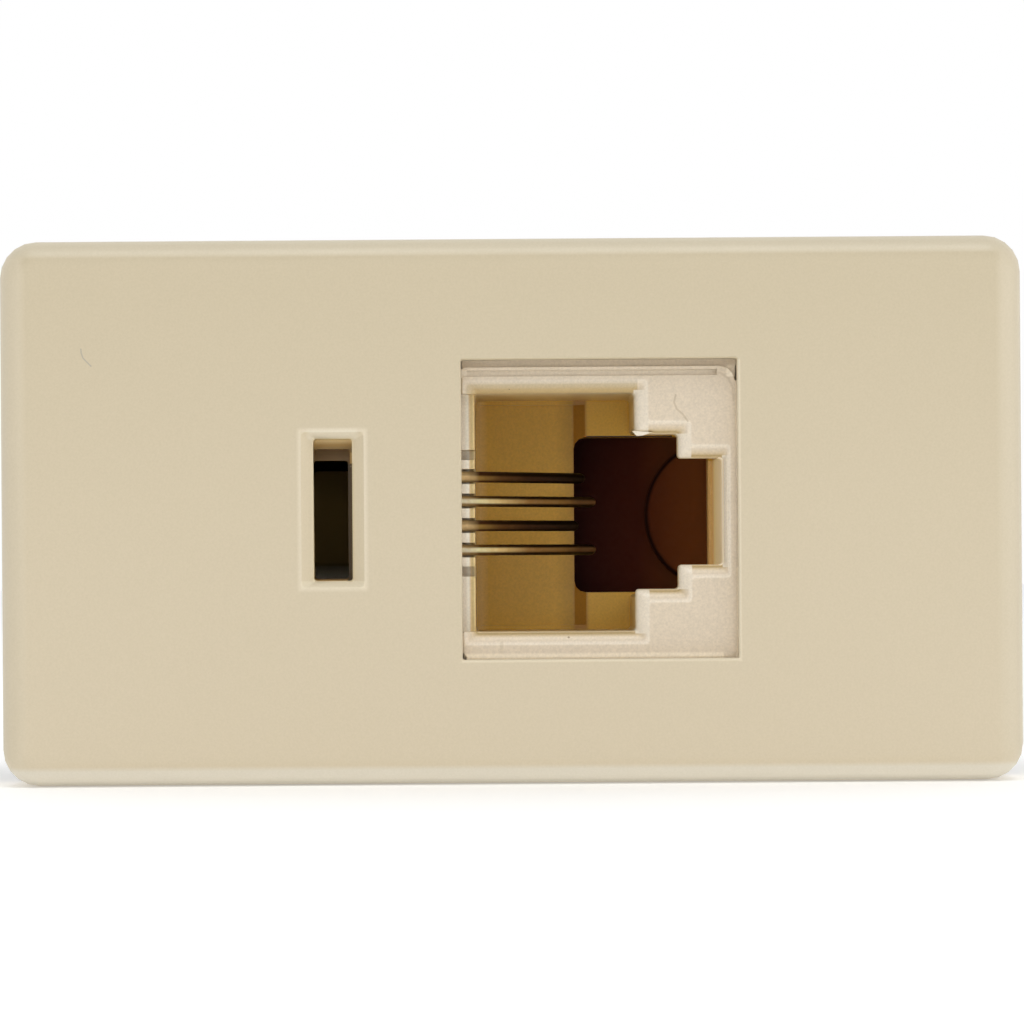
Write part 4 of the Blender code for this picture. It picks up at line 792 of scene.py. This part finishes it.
# %% Dress the cover, the jack and the body
MOULD_EDGE = 0.08 * MM
JACK_EDGE = 0.05 * MM
BODY_EDGE = 0.12 * MM
soften("front_cover", "cover_moulding", ivory, MOULD_EDGE)
soften("jack_housing", "jack_moulding", cream, JACK_EDGE)
soften("rear_housing", "body_moulding", dark, BODY_EDGE)
soften("carrier_plate", "plate_moulding", phenolic, MOULD_EDGE)
soften("contact_carrier", "carrier_moulding", dark, MOULD_EDGE)

# %% [markdown]
# ## The seam round the jack's front
#
# The jack's front fills its opening so closely that only a fine seam shows. The solids
# keep a fitting gap there, and a gap drawn as it is would show as a black line. Thin
# strips close it just behind the front, as the flash of a mould does: one for the right
# side and the bottom, one for the top, which lies deeper, and one at each left end.

# %% Make a strip


def mould_flash(name, corners, front, back):
    """Build a thin prism of cream plastic from an outline in X and Z, between two depths."""
    work = bmesh.new()
    rings = [[work.verts.new((x, y, z)) for x, z in corners] for y in (front, back)]
    work.faces.new(rings[0])
    work.faces.new(list(reversed(rings[1])))
    for index in range(len(corners)):
        after = (index + 1) % len(corners)
        work.faces.new((rings[0][after], rings[0][index], rings[1][index], rings[1][after]))
    bmesh.ops.recalc_face_normals(work, faces=work.faces)
    mesh = bpy.data.meshes.new(name)
    work.to_mesh(mesh)
    work.free()
    mesh.materials.append(cream)
    piece = bpy.data.objects.new(name, mesh)
    bpy.context.collection.objects.link(piece)
    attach(piece, "root")
    print(name, "has", len(corners), "corners")


# %% Close the seam
SEAM = 0.057 * MM
TOP_SEAM = 0.297 * MM
STRIP = 0.35 * MM
STRIP_TOP = NOSE_TOP - 0.6 * MM
side_and_bottom = [
    (NOSE_LEFT + 0.1 * MM, NOSE_BOTTOM - SEAM),
    (NOSE_RIGHT + SEAM, NOSE_BOTTOM - SEAM),
    (NOSE_RIGHT + SEAM, STRIP_TOP),
    (NOSE_RIGHT - STRIP, STRIP_TOP),
    (NOSE_RIGHT - STRIP, NOSE_BOTTOM + STRIP),
    (NOSE_LEFT + 0.1 * MM, NOSE_BOTTOM + STRIP),
]
top_bar = [
    (NOSE_LEFT - 0.03 * MM, NOSE_TOP + 0.05 * MM),
    (NOSE_RIGHT + SEAM, NOSE_TOP + 0.05 * MM),
    (NOSE_RIGHT + SEAM, NOSE_TOP + TOP_SEAM),
    (NOSE_LEFT - 0.03 * MM, NOSE_TOP + TOP_SEAM),
]
mould_flash("seam_side_and_bottom", side_and_bottom, NOSE_Y + 0.03 * MM, SHOULDER_Y)
mould_flash("seam_top", top_bar, NOSE_Y + 0.27 * MM, SHOULDER_Y)
for name, low, high in (
    ("seam_upper_end", JACK_Z + CAVITY_HALF + 0.05 * MM, NOSE_TOP - 0.05 * MM),
    ("seam_lower_end", NOSE_BOTTOM + 0.2 * MM, JACK_Z - CAVITY_HALF - 0.05 * MM),
):
    left = NOSE_LEFT - SEAM
    right = NOSE_LEFT + 0.2 * MM
    mould_flash(name, [(left, low), (right, low), (right, high), (left, high)], NOSE_Y + 0.05 * MM, SHOULDER_Y)

# %% [markdown]
# A small burr hangs from the corner where the plug's opening narrows: a flake of plastic
# that the mould pressed out. It is a thin prism, made in the same way as the strips.

# %% Hang the burr
BURR_CORNERS = ((5.0, 3.26), (5.2, 3.05), (5.44, 3.07), (5.86, 3.2))
mould_flash("mould_burr", [(x * MM, z * MM) for x, z in BURR_CORNERS], NOSE_Y + 0.12 * MM, NOSE_Y + 0.5 * MM)

# %% [markdown]
# ## Wires and leads
#
# A spring wire is drawn round and smooth, and a lead's insulation bends without a
# corner, but the solids have flat facets there. Smoothing those would shrink the ends.
# So each tube becomes a curve with a round section, led through the middles of the rings
# of points that the solid's tube is made of, with the radius of each.

# %% Find a tube's middle line
RING_POINTS = 8
ROUNDNESS = 0.02 * MM
SAME_PLACE = 0.001 * MM


def is_cap(face):
    """Tell whether a face is a tube's flat round end."""
    middle = face.calc_center_median()
    reaches = [(vert.co - middle).length for vert in face.verts]
    return len(reaches) == RING_POINTS and max(reaches) - min(reaches) < ROUNDNESS


def tube_rings(node_name):
    """Return the middle and the radius of each ring of a tube, from one end to the other."""
    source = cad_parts[node_name]
    work = bmesh.new()
    work.from_mesh(source.data)
    work.transform(source.matrix_world)
    bmesh.ops.remove_doubles(work, verts=work.verts, dist=WELD)
    flats = work.copy()
    bmesh.ops.dissolve_limit(flats, angle_limit=FLAT_ANGLE, verts=flats.verts, edges=flats.edges)
    end = next([vert.co.copy() for vert in face.verts] for face in flats.faces if is_cap(face))
    ring = [vert for vert in work.verts if min((vert.co - corner).length for corner in end) < SAME_PLACE]
    seen = set(ring)
    rings = []
    while ring:
        middle = sum((vert.co for vert in ring), Vector()) / len(ring)
        rings.append((middle, sum((vert.co - middle).length for vert in ring) / len(ring)))
        ring = list({edge.other_vert(vert) for vert in ring for edge in vert.link_edges} - seen)
        seen.update(ring)
    flats.free()
    work.free()
    return rings


# %% Draw a tube as a round curve
RUN_IN = 0.15 * MM


def smooth_tube(node_name, name, material):
    """Stand a smooth round curve in for a tube; each long straight run gets a point near its ends."""
    rings = tube_rings(node_name)
    points = [rings[0]]
    for (start, start_radius), (end, end_radius) in zip(rings, rings[1:]):
        step = (end - start).normalized() * RUN_IN
        if (end - start).length > 6 * RUN_IN and abs(end_radius - start_radius) < SAME_PLACE:
            points += [(start + step, start_radius), (end - step, end_radius)]
        points.append((end, end_radius))
    curve = bpy.data.curves.new(name, "CURVE")
    curve.dimensions = "3D"
    curve.resolution_u = 6
    curve.bevel_depth = max(radius for middle, radius in rings)
    curve.bevel_resolution = 6
    curve.use_fill_caps = True
    line = curve.splines.new("BEZIER")
    line.bezier_points.add(len(points) - 1)
    for spot, (middle, radius) in zip(line.bezier_points, points):
        spot.co = middle
        spot.radius = radius / curve.bevel_depth
        spot.handle_left_type = "AUTO"
        spot.handle_right_type = "AUTO"
    curve.materials.append(material)
    piece = bpy.data.objects.new(name, curve)
    bpy.context.collection.objects.link(piece)
    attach(piece, "root")
    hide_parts(node_name)
    print(name, "led through", len(points), "points")


# %% Dress the wires, terminals and leads
for number in range(1, WIRE_COUNT + 1):
    smooth_tube(f"contact_wire_{number}", f"spring_wire_{number}", wire_finishes[number])
    soften(f"terminal_{number}", f"brass_terminal_{number}", brass, MOULD_EDGE)
    soften(f"clamp_washer_{number}", f"square_washer_{number}", zinc, MOULD_EDGE)
    soften(f"terminal_screw_{number}", f"screw_{number}", zinc, MOULD_EDGE)
for colour, finish in lead_colours.items():
    smooth_tube(f"lead_{colour}", f"insulated_lead_{colour}", finish)

# %% [markdown]
# ## Studio
#
# The socket stands on a plain pale floor. A product picture has even light with hardly a
# shadow, which could come from many lamps, but a tent of light gives it with one world:
# a bright ring round the camera fills the cavity and the sides stay softer. A soft lamp
# on the right shades the slot's bevels and one above lights the floor. The eye itself
# sees plain white.

# %% The floor
FLOOR_REACH = 1.5
FLOOR_GLOW = 0.24


def studio_floor():
    """Make the plain pale floor under the socket."""
    material, tree, shader, place = new_material("pale_floor", 0.8)
    tree.links.new(drifting(tree, place, 60 * MM, "F7F7F6", "F4F4F3"), shader.inputs["Base Color"])
    shader.inputs["Emission Color"].default_value = (1.0, 1.0, 1.0, 1.0)
    shader.inputs["Emission Strength"].default_value = FLOOR_GLOW
    mesh = bpy.data.meshes.new("studio_floor")
    level = cover_low.z - 0.05 * MM
    corners = [(x * FLOOR_REACH, y * FLOOR_REACH, level) for x, y in ((-1, -1), (1, -1), (1, 1), (-1, 1))]
    mesh.from_pydata(corners, [], [(0, 1, 2, 3)])
    mesh.materials.append(material)
    floor = bpy.data.objects.new("studio_floor", mesh)
    bpy.context.collection.objects.link(floor)
    print("floor at", round(level / MM, 2), "mm")


studio_floor()

# %% The tent
# Each entry is an angle from the camera's direction in degrees and the light that comes from there.
TENT_LIGHT = ((0, 0.08), (12, 0.08), (13, 3.45), (20, 3.45), (23, 0.44), (95, 0.44), (110, 1.0), (180, 1.0))
TENT_STRENGTH = 5.0


def grey(light):
    """Return the colour that gives a light at the tent's strength."""
    return (*[light / TENT_STRENGTH] * 3, 1.0)


def studio_tent():
    """Make the tent: a bright ring round the camera, softer at the sides, white behind and to the eye."""
    world = bpy.data.worlds.new("studio_tent")
    world.use_nodes = True
    tree = world.node_tree
    direction = add_node(tree, "ShaderNodeTexCoord", out="Generated")
    inwards = add_node(tree, "ShaderNodeSeparateXYZ", {0: direction}, "Y")
    facing = add_node(tree, "ShaderNodeMapRange", {0: inwards, 1: -1.0, 2: 1.0})
    ramp = add_node(tree, "ShaderNodeValToRGB", {0: facing})
    keys = ramp.node.color_ramp.elements
    keys[0].color = grey(TENT_LIGHT[0][1])
    keys[1].color = grey(TENT_LIGHT[-1][1])
    for turn, light in TENT_LIGHT[1:-1]:
        keys.new(math.sin(math.radians(turn) / 2) ** 2).color = grey(light)
    back = tree.nodes["Background"]
    tree.links.new(ramp, back.inputs["Color"])
    back.inputs["Strength"].default_value = TENT_STRENGTH
    seen = add_node(tree, "ShaderNodeBackground", {"Color": (1.0, 1.0, 1.0, 1.0), "Strength": 1.0})
    eye = add_node(tree, "ShaderNodeLightPath", out="Is Camera Ray")
    mix = add_node(tree, "ShaderNodeMixShader", {0: eye, 1: back.outputs[0], 2: seen})
    tree.links.new(mix, tree.nodes["World Output"].inputs["Surface"])
    bpy.context.scene.world = world
    print("tent steps", len(TENT_LIGHT))


studio_tent()

# %% The lamps


def soft_lamp(name, place, size, power):
    """Hang a square soft lamp that looks at the socket; its size is in metres and its power in watts."""
    light = bpy.data.lights.new(name, "AREA")
    light.shape = "SQUARE"
    light.size = size
    light.energy = power
    lamp = bpy.data.objects.new(name, light)
    bpy.context.collection.objects.link(lamp)
    lamp.location = place
    lamp.rotation_euler = (-Vector(place)).to_track_quat("-Z", "Y").to_euler()
    print(name, "gives", power, "W")


soft_lamp("side_lamp", (0.36, -0.17, -0.02), 0.2, 0.27)
soft_lamp("top_lamp", (0.05, -0.35, 0.75), 0.4, 2.1)
bpy.context.scene.view_settings.view_transform = "Standard"

# %% [markdown]
# ## Camera
#
# The photograph looks straight at the face, with just enough perspective to show the
# cavity's walls. That needs a long lens at a fifth of a metre. The camera stands a little
# left of the middle and below it, where those walls look right, and the lens is shifted
# rather than turned, so that the face keeps its right angles.

# %% Set up the camera
CAMERA_DISTANCE = 200 * MM
VIEW_WIDTH = 42.14 * MM
SENSOR = 36.0
CAMERA_X = -0.6 * MM
CAMERA_Z = -2.1 * MM
FRAME_RISE = 0.06 * MM
ROLL = 0.41
camera_data = bpy.data.cameras.new("camera")
camera_data.sensor_width = SENSOR
camera_data.lens = SENSOR * CAMERA_DISTANCE / VIEW_WIDTH
camera_data.clip_start = 0.01
camera_data.shift_x = -CAMERA_X / VIEW_WIDTH
camera_data.shift_y = -(CAMERA_Z + FRAME_RISE) / VIEW_WIDTH
camera = bpy.data.objects.new("camera", camera_data)
bpy.context.collection.objects.link(camera)
camera.location = (CAMERA_X, FACE_Y - CAMERA_DISTANCE, CAMERA_Z)
camera.rotation_euler = (math.radians(90), math.radians(ROLL), 0.0)
bpy.context.scene.camera = camera
print("lens", round(camera_data.lens, 1), "mm")
